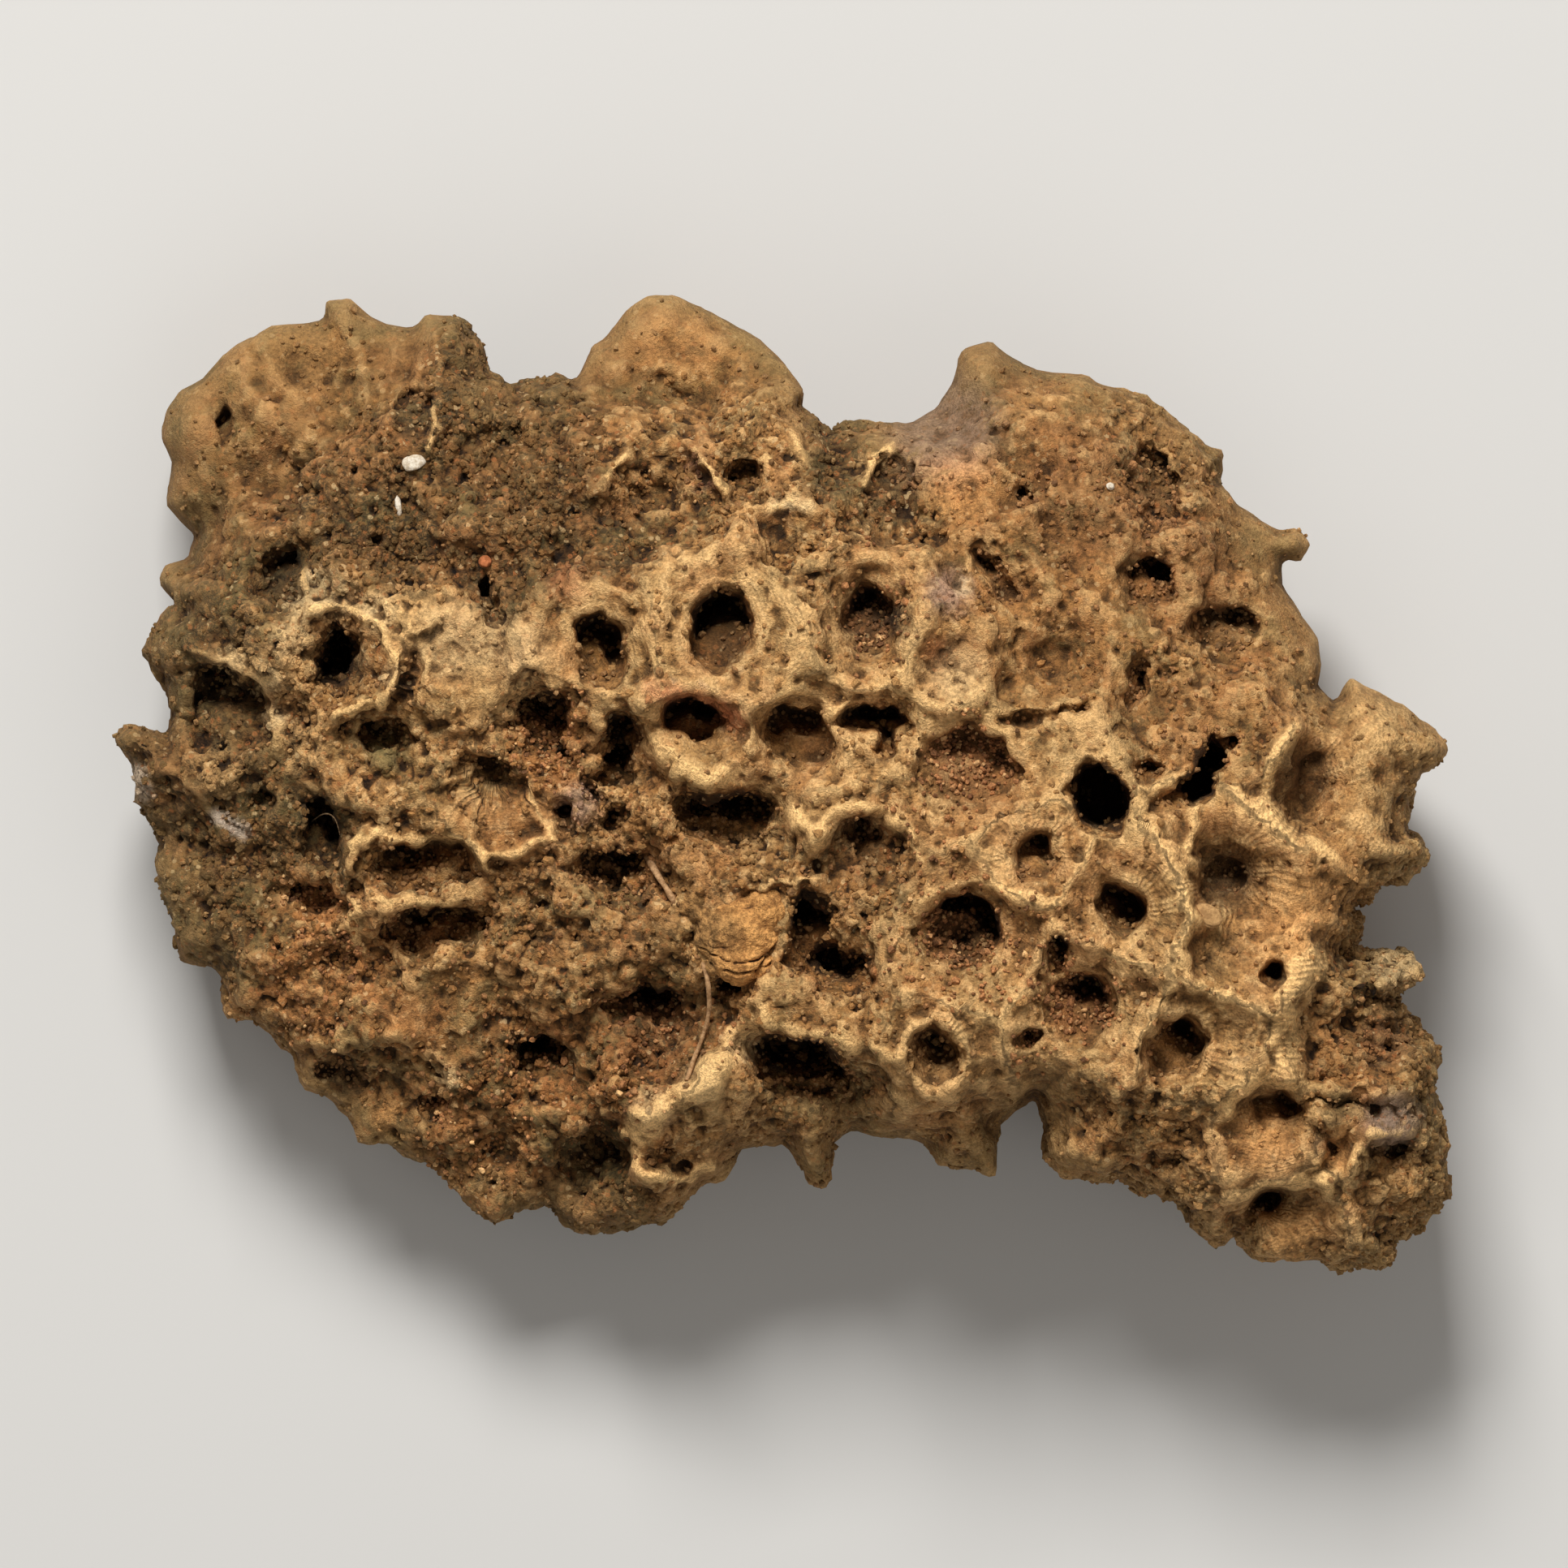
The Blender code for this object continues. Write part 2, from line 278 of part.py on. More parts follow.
RIDGES = (
    Ridge("arch", ((-35.0, -6.6), (-34.6, -5.1), (-32.9, -4.2), (-30.4, -4.3), (-27.9, -5.1), (-25.3, -6.2),
                   (-24.7, -7.5)), 1.3, 0.5),
    Ridge("slot_lip", ((-33.2, -9.6), (-30.3, -9.8), (-27.4, -10.2), (-25.3, -9.6)), 0.9, 0.5),
    Ridge("window_rim", ((-39.0, 17.2), (-38.0, 14.7), (-34.6, 14.1), (-32.7, 12.2), (-31.5, 8.8),
                         (-32.3, 6.2), (-36.0, 5.5)), 1.3, 0.55),
    Ridge("hollow_rim", ((-48.0, 10.6), (-44.6, 9.9), (-42.0, 8.2), (-41.5, 5.0), (-41.7, 2.0)), 1.3, 0.6),
    Ridge("column", ((-34.9, -9.5), (-34.6, -12.4), (-34.3, -14.2)), 1.2, 0.7),
    Ridge("window_crack", ((-30.2, 10.4), (-30.6, 8.0), (-31.7, 6.0)), -2.6, 0.5),
    Ridge("fan_edge", ((-20.9, 0.1), (-19.7, -2.5), (-18.2, -4.9), (-20.6, -6.2), (-24.5, -6.9)), 1.0, 0.45),
    Ridge("fan_crack", ((-24.8, 0.6), (-24.6, -2.6), (-25.2, -5.8)), -0.9, 0.35),
    Ridge("ribbed_wall", ((44.4, -14.8), (42.3, -16.8), (41.3, -19.2), (41.2, -22.0),
                          (41.5, -24.4)), 2.2, 1.1),
    Ridge("funnel_west", ((34.2, -1.8), (33.5, -5.3), (33.4, -9.6), (33.2, -13.9), (33.7, -16.8)), 1.4, 0.5),
    Ridge("funnel_north", ((42.3, 4.3), (40.2, 2.2), (39.4, -1.8), (41.8, -3.8), (46.1, -6.1)), 1.4, 0.5),
    Ridge("bowl_hood", ((11.6, -10.2), (12.8, -9.0), (16.0, -8.4), (19.2, -9.2), (23.1, -10.2)), 0.9, 0.45),
    Ridge("mauve_edge", ((48.2, -29.5), (50.2, -29.3), (52.0, -29.0)), 1.1, 0.5),
    Ridge("fin", ((48.3, -29.2), (47.6, -30.5), (46.9, -31.9)), 1.8, 0.55),
    Ridge("ragged_rim", ((42.0, -24.5), (39.5, -24.4), (37.6, -25.5), (36.4, -27.3)), 1.5, 0.6),
    Ridge("sand_lip", ((43.2, -24.7), (45.5, -25.2), (48.6, -25.9), (51.6, -26.2)), 0.8, 0.5),
    Ridge("green_cleft", ((42.9, -25.6), (45.6, -26.4), (48.4, -27.0)), -2.0, 0.6),
    Ridge("foot_lip", ((36.8, -33.6), (38.4, -33.7), (40.0, -32.8), (42.8, -32.6), (44.6, -33.1)), 1.5, 0.55),
    Ridge("cave_arch", ((-41.8, -2.0), (-40.1, -0.5), (-38.4, -0.5), (-36.7, -2.0),
                        (-35.9, -3.7)), 1.0, 0.45),
    Ridge("west_streak", ((-50.7, 0.8), (-47.8, -1.3), (-45.7, -3.7), (-44.0, -4.9)), 1.0, 0.6),
    Ridge("belt_ledge", ((-10.6, 2.8), (-8.4, 1.3), (-5.6, 0.8), (-2.6, 0.7), (-0.6, -1.0), (1.4, -3.0),
                         (3.2, -4.4)), 0.9, 0.7),
    Ridge("keyhole_rim", ((3.2, -5.8), (3.7, -3.7), (4.9, -2.2), (6.6, -1.8), (8.7, -2.4), (10.4, -4.1),
                          (11.3, -6.2)), 1.0, 0.5),
    Ridge("cave_eave", ((-2.0, -9.0), (0.5, -8.7), (3.4, -8.4)), 0.9, 0.4),
    Ridge("shelf_hump", ((-0.6, -17.0), (2.6, -18.2), (5.6, -20.4)), 0.6, 1.3),
    Ridge("slide_lip", ((-13.6, -16.9), (-10.8, -16.7), (-8.2, -17.0)), 0.9, 0.45),
    Ridge("eye_arch", ((-0.4, 5.2), (0.6, 7.0), (2.6, 7.6), (4.6, 6.8), (5.4, 5.9)), 0.8, 0.4),
    Ridge("dish_crack", ((18.6, 5.3), (21.4, 4.9), (24.9, 5.6)), -2.0, 0.4),
    Ridge("foot_crack", ((-33.5, -21.0), (-30.5, -22.2), (-28.0, -23.8)), -1.6, 0.5),
    Ridge("cave_lip", ((-2.0, -18.6), (-0.4, -20.2), (3.0, -21.3), (6.6, -21.6), (9.6, -22.8)), 1.0, 0.6),
    Ridge("spur", ((-1.4, -20.0), (-3.2, -21.9), (-5.7, -23.9), (-9.1, -26.1), (-12.4, -28.4)), 1.9, 1.1),
    Ridge("stub_rim", ((-12.5, -29.4), (-12.0, -31.6), (-9.9, -32.7), (-7.6, -32.8),
                       (-6.0, -31.8)), 1.4, 0.5),
    Ridge("foot_scarp", ((-39.7, -21.2), (-36.5, -21.8), (-33.0, -21.2), (-31.2, -20.6)), 0.9, 0.5),
    Ridge("pale_ledge", ((-26.8, 14.6), (-30.0, 12.4), (-33.0, 15.4)), 0.7, 0.5),
    Ridge("lobe_edge", ((-43.1, 35.8), (-42.0, 33.3), (-39.7, 31.4)), 0.7, 0.5),
    Ridge("dish_rib", ((-28.0, 31.1), (-27.8, 29.3), (-28.5, 27.6)), 1.8, 0.42),
    Ridge("short_rib", ((-26.4, 28.4), (-26.4, 27.0)), 0.6, 0.35),
    Ridge("curl_rim", ((0.9, 28.6), (1.9, 26.6), (2.0, 24.9)), 1.1, 0.4),
    Ridge("window_shelf", ((-38.5, 16.3), (-35.0, 16.8), (-32.0, 16.1)), 0.7, 0.45),
    Ridge("lobe_rim", ((-13.7, 33.0), (-12.2, 37.2), (-9.1, 38.2), (-4.9, 36.7), (-2.8, 35.2)), 0.5, 0.8),
    Ridge("dish_west", ((-12.6, 27.1), (-14.7, 23.8)), 1.3, 0.5),
    Ridge("dish_east", ((-7.2, 27.3), (-6.1, 25.7), (-4.9, 23.6)), 1.3, 0.5),
    Ridge("ring_crack", ((-1.1, 18.6), (0.3, 17.5), (1.6, 18.3)), -1.5, 0.3),
    Ridge("salmon_plate", ((-21.0, 15.9), (-17.5, 16.6), (-13.6, 15.6)), 0.6, 0.9),
    Ridge("moon_rim", ((6.6, 24.4), (7.2, 26.6), (9.0, 27.9)), 1.3, 0.45),
    Ridge("long_edge", ((19.0, 12.6), (18.8, 10.4), (19.1, 8.0)), -1.3, 0.35),
    Ridge("torn_strip", ((15.2, 17.6), (15.0, 14.6)), 0.8, 0.45),
    Ridge("curl_plug", ((-1.4, 26.3), (-1.0, 26.0)), 1.0, 0.9),
    Ridge("ring_arc", ((-0.7, 22.3), (0.9, 22.9), (2.7, 22.4)), 0.9, 0.45),
)

# How tall the walls between cups stand at a few places, as (x, y, height)
WALL_HEIGHTS = (
    (-36, 30, 0.1), (-20, 26, 0.2), (-8, 34, 0.3), (10, 27, 0.5), (28, 26, 0.5), (-46, 20, 0.3),
    (-16, 12, 0.8), (6, 12, 1.1), (24, 12, 0.7), (38, 14, 0.8), (-38, 8, 0.7), (-22, 2, 0.5),
    (0, 2, 1.0), (20, 0, 1.0), (36, -8, 1.3), (48, -4, 1.1), (26, -16, 1.2), (8, -12, 0.8),
    (-30, -8, 0.7), (-44, -8, 0.3), (-28, -16, 0.0), (-14, -12, 0.4), (-30, -20, 0.2), (-12, -26, 0.5),
    (10, -24, 0.9), (34, -28, 0.8), (48, -28, 0.6),
)
WALL_REACH = 7.0

# The clay is a few squashed balls pressed together, as (middle, half sizes) from the middle of the lump
CLAY_MIDDLE = (-3.4, -12.6, 28.2)
CLAY_LOBES = (
    ((0.0, 0.2, 0.0), (3.8, 3.2, 3.0)),
    ((2.3, 2.0, 0.9), (2.0, 2.1, 2.0)),
    ((-3.3, 2.2, 0.1), (1.7, 1.6, 1.7)),
    ((0.1, -2.2, 0.7), (2.9, 1.8, 2.1)),
)
CLAY_GRID = 0.4
CLAY_SMOOTHING = 4


def hashed(cells, seed):
    """A value from 0 to 1 for each whole-numbered cell, always the same for the same cell and seed."""
    primes = np.array((73856093, 19349663, 83492791), np.uint64)
    mixed = (cells.astype(np.int64).astype(np.uint64) * primes).sum(axis=1) + np.uint64(seed * 2654435761)
    mixed ^= mixed >> np.uint64(13)
    mixed *= np.uint64(0x9E3779B97F4A7C15)
    mixed ^= mixed >> np.uint64(29)
    return (mixed & np.uint64(0xFFFF)).astype(float) / 0xFFFF


def smooth_noise(points, size, seed):
    """Values from -1 to 1 that change smoothly over about size millimetres."""
    scaled = points / size
    cell = np.floor(scaled)
    part = scaled - cell
    part = part * part * (3 - 2 * part)
    total = np.zeros(len(points))
    for corner in itertools.product((0, 1), repeat=3):
        weight = np.prod(np.where(corner, part, 1 - part), axis=1)
        total += weight * hashed(cell + corner, seed)
    return 2 * total - 1


def rough_noise(points, size, octaves, seed):
    """Smooth noise with finer and weaker copies added, for worn rock."""
    return sum(
        smooth_noise(points, size / 2**octave, seed + octave) / 1.8**octave for octave in range(octaves)
    )


def crumbs(points, size, seed):
    """Rounded lumps about size millimetres across: 1 at a lump's middle, 0 in the creases between."""
    scaled = points / size
    cell = np.floor(scaled)
    nearest = np.full(len(points), 9.0)
    for step in itertools.product((-1, 0, 1), repeat=3):
        neighbour = cell + step
        middle = np.stack([0.15 + 0.7 * hashed(neighbour, seed + axis) for axis in range(3)], axis=1)
        nearest = np.minimum(nearest, np.linalg.norm(scaled - neighbour - middle, axis=1))
    return np.clip(1 - nearest / 0.85, 0, 1)


def eased(value):
    """0 below 0 and 1 above 1, with a smooth climb between."""
    value = np.clip(value, 0, 1)
    return value * value * (3 - 2 * value)


def flat_points(x, y, height=0.0):
    return np.stack([x, y, np.full(len(x), height)], axis=1)


def distance_to_line(x, y, route):
    nearest = np.full(len(x), np.inf)
    for (ax, ay), (bx, by) in zip(route, route[1:]):
        length_squared = (bx - ax) ** 2 + (by - ay) ** 2
        along = np.clip(((x - ax) * (bx - ax) + (y - ay) * (by - ay)) / length_squared, 0, 1)
        nearest = np.minimum(nearest, np.hypot(x - ax - along * (bx - ax), y - ay - along * (by - ay)))
    return nearest


def blended(x, y, places, reach):
    """The mean of what is near, where places holds (x, y, value)."""
    total = np.zeros(len(x))
    weights = np.zeros(len(x))
    for px, py, value in places:
        weight = np.exp(-((x - px) ** 2 + (y - py) ** 2) / reach**2) + 1e-9
        total += weight * value
        weights += weight
    return total / weights


def ridge_heights(x, y):
    total = np.zeros(len(x))
    for ridge in RIDGES:
        total += ridge.height * np.exp(-((distance_to_line(x, y, ridge.route) / ridge.width) ** 2))
    return total


def pit_radius(x, y, pit, bore, turn):
    """The distance from a pit's middle, as a multiple of its half width: 1 on the pit's edge."""
    angle = math.radians(turn)
    dx, dy = x - pit[0], y - pit[1]
    across = (dx * math.cos(angle) + dy * math.sin(angle)) / bore[0]
    along = (dy * math.cos(angle) - dx * math.sin(angle)) / bore[1]
    return np.hypot(across, along)


def ragged(x, y):
    """Bends straight and round edges a little, so that nothing looks drawn with a compass."""
    flat = flat_points(x, y)
    bends = ((5.0, 0.6), (1.9, 0.3), (0.85, 0.17))
    bent = []
    for value, seed in ((x, 11), (y, 15)):
        for number, (size, reach) in enumerate(bends):
            value = value + reach * smooth_noise(flat, size, seed + number)
        bent.append(value)
    return bent


def cup_and_neighbour(x, y):
    """For each point, the numbers of its own cup and the next, and the distance to the wall between them."""
    centres = np.array([cup.centre for cup in CUPS])
    radii = np.array([cup.radius for cup in CUPS])
    spans = np.hypot(x[:, None] - centres[:, 0], y[:, None] - centres[:, 1]) / radii
    nearest = np.argpartition(spans, 1, axis=1)[:, :2]
    span = np.take_along_axis(spans, nearest, axis=1)
    first_is_own = span[:, 0] <= span[:, 1]
    own = np.where(first_is_own, nearest[:, 0], nearest[:, 1])
    other = np.where(first_is_own, nearest[:, 1], nearest[:, 0])
    wall = np.abs(span[:, 1] - span[:, 0]) / (1 / radii[own] + 1 / radii[other])
    return own, other, wall


def outside_pit(x, y, own):
    """How far each point is outside the pit of its own cup, in millimetres."""
    distance = np.zeros(len(x))
    for number, cup in enumerate(CUPS):
        inside = own == number
        radius = pit_radius(x[inside], y[inside], cup.pit or cup.centre, cup.bore, cup.turn)
        distance[inside] = np.maximum(radius - 1, 0) * math.sqrt(cup.bore[0] * cup.bore[1])
    return distance


def pit_depths(x, y):
    """How deep the pits go: steep on the upper side, with floors that rise to the lower side."""
    depth = np.zeros(len(x))
    pits = [(cup.pit or cup.centre, cup.bore, cup.turn, cup.depth) for cup in CUPS if cup.depth]
    uneven = FLOOR_UNEVEN * smooth_noise(flat_points(x, y), 1.6, 27)
    for pit, bore, turn, deepest in pits + list(HOLES):
        lean = 0.5 if pit[0] > LEAN_FROM else 0.0
        radius = pit_radius(x, y, pit, bore, turn)
        rise = lean * (x - pit[0]) / bore[0] + (1 - 0.3 * lean) * (y - pit[1]) / bore[1]
        lower_side = np.clip(-rise / np.maximum(radius, 0.1), 0, 1)
        taper = UPPER_TAPER + (LOWER_TAPER - UPPER_TAPER) * lower_side
        inward = eased((PIT_EDGE + PIT_SPREAD * lower_side - radius) / taper)
        rise = rise + uneven
        floor = 1.0 if deepest > STRAIGHT_FROM else LOW_SHARE + (1 - LOW_SHARE) * eased((rise + 0.5) / 1.5)
        depth = np.maximum(depth, deepest * floor * inward)
    return depth


def crest(x, y, wall):
    """How high the wall between two cups stands."""
    walls = blended(x, y, WALL_HEIGHTS, WALL_REACH)
    rounded = np.exp(-np.hypot(wall, CREST_ROUND) / WALL_WIDTH)
    return walls * rounded * (1 + CREST_UNEVEN * rough_noise(flat_points(x, y), 5.0, 3, 21))


def faces_of_the_colony(x, y):
    """The heights of the upper face and of the underside at each point, in millimetres."""
    inward = distance_to_line(x, y, OUTLINE + OUTLINE[:1])
    edge = blended(x, y, EDGE_HEIGHTS, EDGE_HEIGHT_REACH)
    x, y = ragged(x, y)
    flat = flat_points(x, y)

    own, other, wall = cup_and_neighbour(x, y)
    tops = np.array([cup.top for cup in CUPS])
    drops = np.array([cup.drop for cup in CUPS])
    rings = np.array([cup.ring for cup in CUPS])
    level = tops[own] + (tops[other] - tops[own]) * 0.5 * np.exp(-((wall / WALL_WIDTH) ** 2))
    smooth_level = blended(x, y, [(*cup.centre, cup.top) for cup in CUPS], LEVEL_REACH)
    outside = outside_pit(x, y, own)
    share = outside / (outside + wall + 0.05)
    upper = LEVEL_STEP * level + (1 - LEVEL_STEP) * smooth_level
    upper += crest(x, y, wall)
    low_walls = WALLS_WITHOUT_BUMPS - blended(x, y, WALL_HEIGHTS, WALL_REACH)
    upper += BUMP_HEIGHT * low_walls * rough_noise(flat, 5.5, 3, 25)
    upper -= drops[own] * (1 - share) ** 1.4
    upper += rings[own] * np.exp(-(((outside - 0.75) / 0.6) ** 2))
    upper += ridge_heights(x, y)

    shoulder = 1 - np.clip(inward / SHOULDER, 0, 1)
    upper = edge + (upper - edge) * np.sqrt(1 - shoulder**2)

    flank = 1 - np.clip(inward / FLANK, 0, 1)
    under = (edge - EDGE_THICKNESS) * (1 - np.sqrt(1 - flank**2))
    angle = np.arctan2(y, 0.8 * x) + 0.05 * smooth_noise(flat, 12.0, 31)
    rib = np.abs(np.sin(0.5 * RIB_COUNT * angle))
    under += RIB_DEPTH * (1 - rib) ** 2 * np.sin(math.pi * np.clip(flank, 0, 1)) ** 0.5

    upper = np.maximum(upper - pit_depths(x, y), under + LEAST_FLOOR)
    return upper, under


def vertex_array(mesh):
    values = np.empty(len(mesh.vertices) * 3)
    mesh.vertices.foreach_get("co", values)
    return values.reshape(-1, 3)


def normal_array(mesh):
    values = np.empty(len(mesh.vertices) * 3)
    mesh.vertex_normals.foreach_get("vector", values)
    return values.reshape(-1, 3)


def set_vertices(mesh, points):
    mesh.vertices.foreach_set("co", points.ravel())
    mesh.update()


def evaluated_mesh(obj):
    graph = bpy.context.evaluated_depsgraph_get()
    return bpy.data.meshes.new_from_object(obj.evaluated_get(graph))


def apply_modifiers(obj):
    mesh = evaluated_mesh(obj)
    obj.modifiers.clear()
    obj.data = mesh
    return obj


def remesh(obj, grid):
    modifier = obj.modifiers.new("skin", "REMESH")
    modifier.mode = "VOXEL"
    modifier.voxel_size = grid
    return apply_modifiers(obj)


def thin_out(obj, triangles):
    """Keeps about this many triangles, where they matter most for the shape."""
    obj.data.calc_loop_triangles()
    modifier = obj.modifiers.new("thin_out", "DECIMATE")
    modifier.ratio = triangles / len(obj.data.loop_triangles)
    modifier.use_collapse_triangulate = True
    return apply_modifiers(obj)


def boolean(obj, other, operation):
    modifier = obj.modifiers.new(other.name, "BOOLEAN")
    modifier.operation = operation
    modifier.object = other
    modifier.solver = "EXACT"


def new_object(name, data):
    obj = bpy.data.objects.new(name, data)
    bpy.context.scene.collection.objects.link(obj)
    return obj


def outline_slab():
    """The colony's outline as a thin slab round z = 0, in an even mesh."""
    curve = bpy.data.curves.new("outline", "CURVE")
    curve.dimensions = "2D"
    curve.fill_mode = "BOTH"
    curve.extrude = EDGE_THICKNESS / 2
    spline = curve.splines.new("POLY")
    spline.points.add(len(OUTLINE) - 1)
    for point, (x, y) in zip(spline.points, OUTLINE):
        point.co = (x, y, 0, 1)
    spline.use_cyclic_u = True
    guide = new_object("outline_guide", curve)
    slab = new_object("coral_colony", evaluated_mesh(guide))
    bpy.data.objects.remove(guide)
    return remesh(slab, SLAB_GRID)


def shape_colony(slab):
    """Moves each point of the slab to the upper face, the underside or the edge between them."""
    points = vertex_array(slab.data)
    share = np.clip(points[:, 2] / EDGE_THICKNESS + 0.5, 0, 1)
    upper, under = faces_of_the_colony(points[:, 0], points[:, 1])
    points[:, 2] = under + share * (upper - under)
    set_vertices(slab.data, points)
    return remesh(slab, SKIN_GRID)


def roughen(obj):
    """Pushes the skin in and out along its normals, more on broken edges than on the base."""
    points = vertex_array(obj.data)
    normals = normal_array(obj.data)
    push = 0.34 * rough_noise(points, 3.4, 2, 41) + 0.45 * (crumbs(points, 2.2, 51) - 0.35)
    push *= 0.25 + 0.75 * eased((points[:, 2] - 8.0) / 10.0)
    set_vertices(obj.data, points + normals * push[:, None])
    return obj


def slab_cutter(name, half_width, low, high):
    bpy.ops.mesh.primitive_cube_add(size=1)
    obj = bpy.context.object
    obj.name = name
    size = Matrix.Diagonal((2 * half_width, 2 * half_width, high - low, 1))
    obj.data.transform(Matrix.Translation((0, 0, (low + high) / 2)) @ size)
    return obj


def clay_shape(name, swell=0.0):
    """The lump of clay, swollen by a gap where it makes the cutter for its own seat."""
    lobes = []
    for middle, half_sizes in CLAY_LOBES:
        bpy.ops.mesh.primitive_ico_sphere_add(subdivisions=4, radius=1)
        lobe = bpy.context.object
        lobe.data.transform(Matrix.Translation(middle) @ Matrix.Diagonal((*half_sizes, 1)))
        lobes.append(lobe)
    lump = lobes[0]
    lump.name = name
    for lobe in lobes[1:]:
        boolean(lump, lobe, "UNION")
    apply_modifiers(lump)
    for lobe in lobes[1:]:
        bpy.data.objects.remove(lobe)

    remesh(lump, CLAY_GRID)
    smoothing = lump.modifiers.new("pressed", "SMOOTH")
    smoothing.iterations = CLAY_SMOOTHING
    apply_modifiers(lump)
    points = vertex_array(lump.data)
    normals = normal_array(lump.data)
    push = swell + 0.2 * rough_noise(points, 2.2, 2, 61)
    set_vertices(lump.data, points + normals * push[:, None])
    lump.data.transform(Matrix.Translation(CLAY_MIDDLE))
    return thin_out(lump, CLAY_TRIANGLES)


def material(name, colour, roughness):
    made = bpy.data.materials.new(name)
    made.use_nodes = True
    shader = made.node_tree.nodes["Principled BSDF"]
    shader.inputs["Base Color"].default_value = colour
    shader.inputs["Roughness"].default_value = roughness
    shader.inputs["Metallic"].default_value = 0.0
    return made


def gather(name, objects):
    """Puts the objects in a collection of their own, and in no other."""
    collection = bpy.data.collections.new(name)
    bpy.context.scene.collection.children.link(collection)
    for obj in objects:
        for owner in list(obj.users_collection):
            owner.objects.unlink(obj)
        collection.objects.link(obj)


def main():
    for obj in list(bpy.data.objects):
        bpy.data.objects.remove(obj)

    colony = thin_out(roughen(shape_colony(outline_slab())), COLONY_TRIANGLES)
    clay = clay_shape("clay_lump")
    cutters = [
        clay_shape("clay_seat_cutter", swell=GAP),
        slab_cutter("base_cutter", 80, -20, BASE_CUT),
    ]
    for cutter in cutters:
        boolean(colony, cutter, "DIFFERENCE")
        cutter.hide_render = True
        cutter.display_type = "WIRE"

    points = vertex_array(colony.data)
    middle = (points.min(axis=0) + points.max(axis=0)) / 2
    to_frame = Matrix.Scale(METRES_PER_MM, 4) @ Matrix.Translation((-middle[0], -middle[1], -BASE_CUT))
    for obj in (colony, clay, *cutters):
        obj.data.transform(to_frame)

    for obj, finish in (
        (colony, material("fossil_coral", BASE_COLOUR, 0.92)),
        (clay, material("dried_clay", CLAY_COLOUR, 0.95)),
    ):
        obj.data.materials.clear()
        obj.data.materials.append(finish)
    gather("fossil_colonial_rugose_coral", [colony, clay])
    gather("cutters", cutters)


main()
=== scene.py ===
"""The looks of a fossil colonial rugose coral, seen from straight above its face of cups.

The colony's fine surface is shaped from the same named cups, holes and outline as its solid, with a much
finer mesh, and stands in for the solid. Sand, crumbs, a clay lump, a rootlet, a hair, a pale flake,
three white chips and an orange grain lie on it. Shapes are worked out in millimetres and scaled to the
frame's metres at the end.
"""

import functools
import itertools
import json
import math
from typing import NamedTuple

import bpy
import numpy as np
from mathutils import Matrix, Vector
from mathutils.bvhtree import BVHTree

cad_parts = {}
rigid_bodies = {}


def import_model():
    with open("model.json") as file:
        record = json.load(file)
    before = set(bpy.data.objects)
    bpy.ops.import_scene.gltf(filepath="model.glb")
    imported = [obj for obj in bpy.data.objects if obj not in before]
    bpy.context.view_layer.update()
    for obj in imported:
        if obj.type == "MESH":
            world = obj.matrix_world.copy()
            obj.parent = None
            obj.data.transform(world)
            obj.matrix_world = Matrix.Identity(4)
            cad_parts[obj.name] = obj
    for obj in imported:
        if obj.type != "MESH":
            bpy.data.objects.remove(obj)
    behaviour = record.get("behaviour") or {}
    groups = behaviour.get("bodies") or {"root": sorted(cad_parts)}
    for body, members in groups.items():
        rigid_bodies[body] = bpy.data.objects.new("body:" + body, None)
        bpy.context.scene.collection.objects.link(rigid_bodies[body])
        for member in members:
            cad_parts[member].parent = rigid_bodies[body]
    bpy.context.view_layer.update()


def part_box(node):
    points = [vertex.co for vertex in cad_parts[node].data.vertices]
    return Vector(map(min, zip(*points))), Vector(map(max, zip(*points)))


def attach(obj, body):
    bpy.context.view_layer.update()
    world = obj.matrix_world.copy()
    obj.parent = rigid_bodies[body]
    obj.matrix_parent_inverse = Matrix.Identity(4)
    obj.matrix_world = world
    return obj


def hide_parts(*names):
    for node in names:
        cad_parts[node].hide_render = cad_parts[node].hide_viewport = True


METRES_PER_MM = 0.001
PHOTO_WIDTH_MM = 128.8      # What the photograph's whole width shows.
CAMERA_HEIGHT = 2.0         # In metres: far enough off for nearly parallel sight lines.
FACE_HEIGHT = 0.026         # In metres: where the picture has the photograph's scale.
FLOOR_SIZE = 8              # In metres.
LIGHTS = (                  # As (name, place in metres, size, power).
    ("key_light", (-0.18, 0.85, 0.95), 0.45, 22.0),
    ("soft_fill", (0.5, -0.9, 1.3), 1.4, 4.5),
)
LIGHT_AIM = Vector((0, 0, 0.015))
SKY_COLOUR = (1.0, 0.97, 0.93, 1)
SKY_STRENGTH = 0.26

# Driving dimensions, in millimetres
EDGE_THICKNESS = 4.0        # Between the two faces, where they meet at the outline.
SHOULDER = 6.5              # How far in from the outline the upper face rounds off.
FLANK = 15.0                # How far in from the outline the underside comes down to the base.
LEAST_FLOOR = 3.5           # Rock left under the deepest pits.
BASE_CUT = 0.35             # How much of the underside the flat base takes off.
WALL_WIDTH = 0.8
CREST_ROUND = 0.22          # Half width of the worn top of a wall.
LEVEL_STEP = 0.72           # 1 where each cup keeps its own height, 0 where heights run smoothly together.
LEVEL_REACH = 7.0           # How far neighbouring heights are averaged.
RIB_COUNT = 31              # Corallites' sides round the underside.
RIB_DEPTH = 1.5
UPPER_TAPER = 0.24          # How wide a pit's wall is for its bore, on the side that leans over it.
LOWER_TAPER = 0.70          # The same on the side that its floor rises to.
LOW_SHARE = 0.22            # How deep the floor still is there, for the whole depth.
STRAIGHT_FROM = 13.5        # Pits deeper than this go straight down all over.
LEAN_FROM = 8.0             # Past this, the corallites lean to the right.
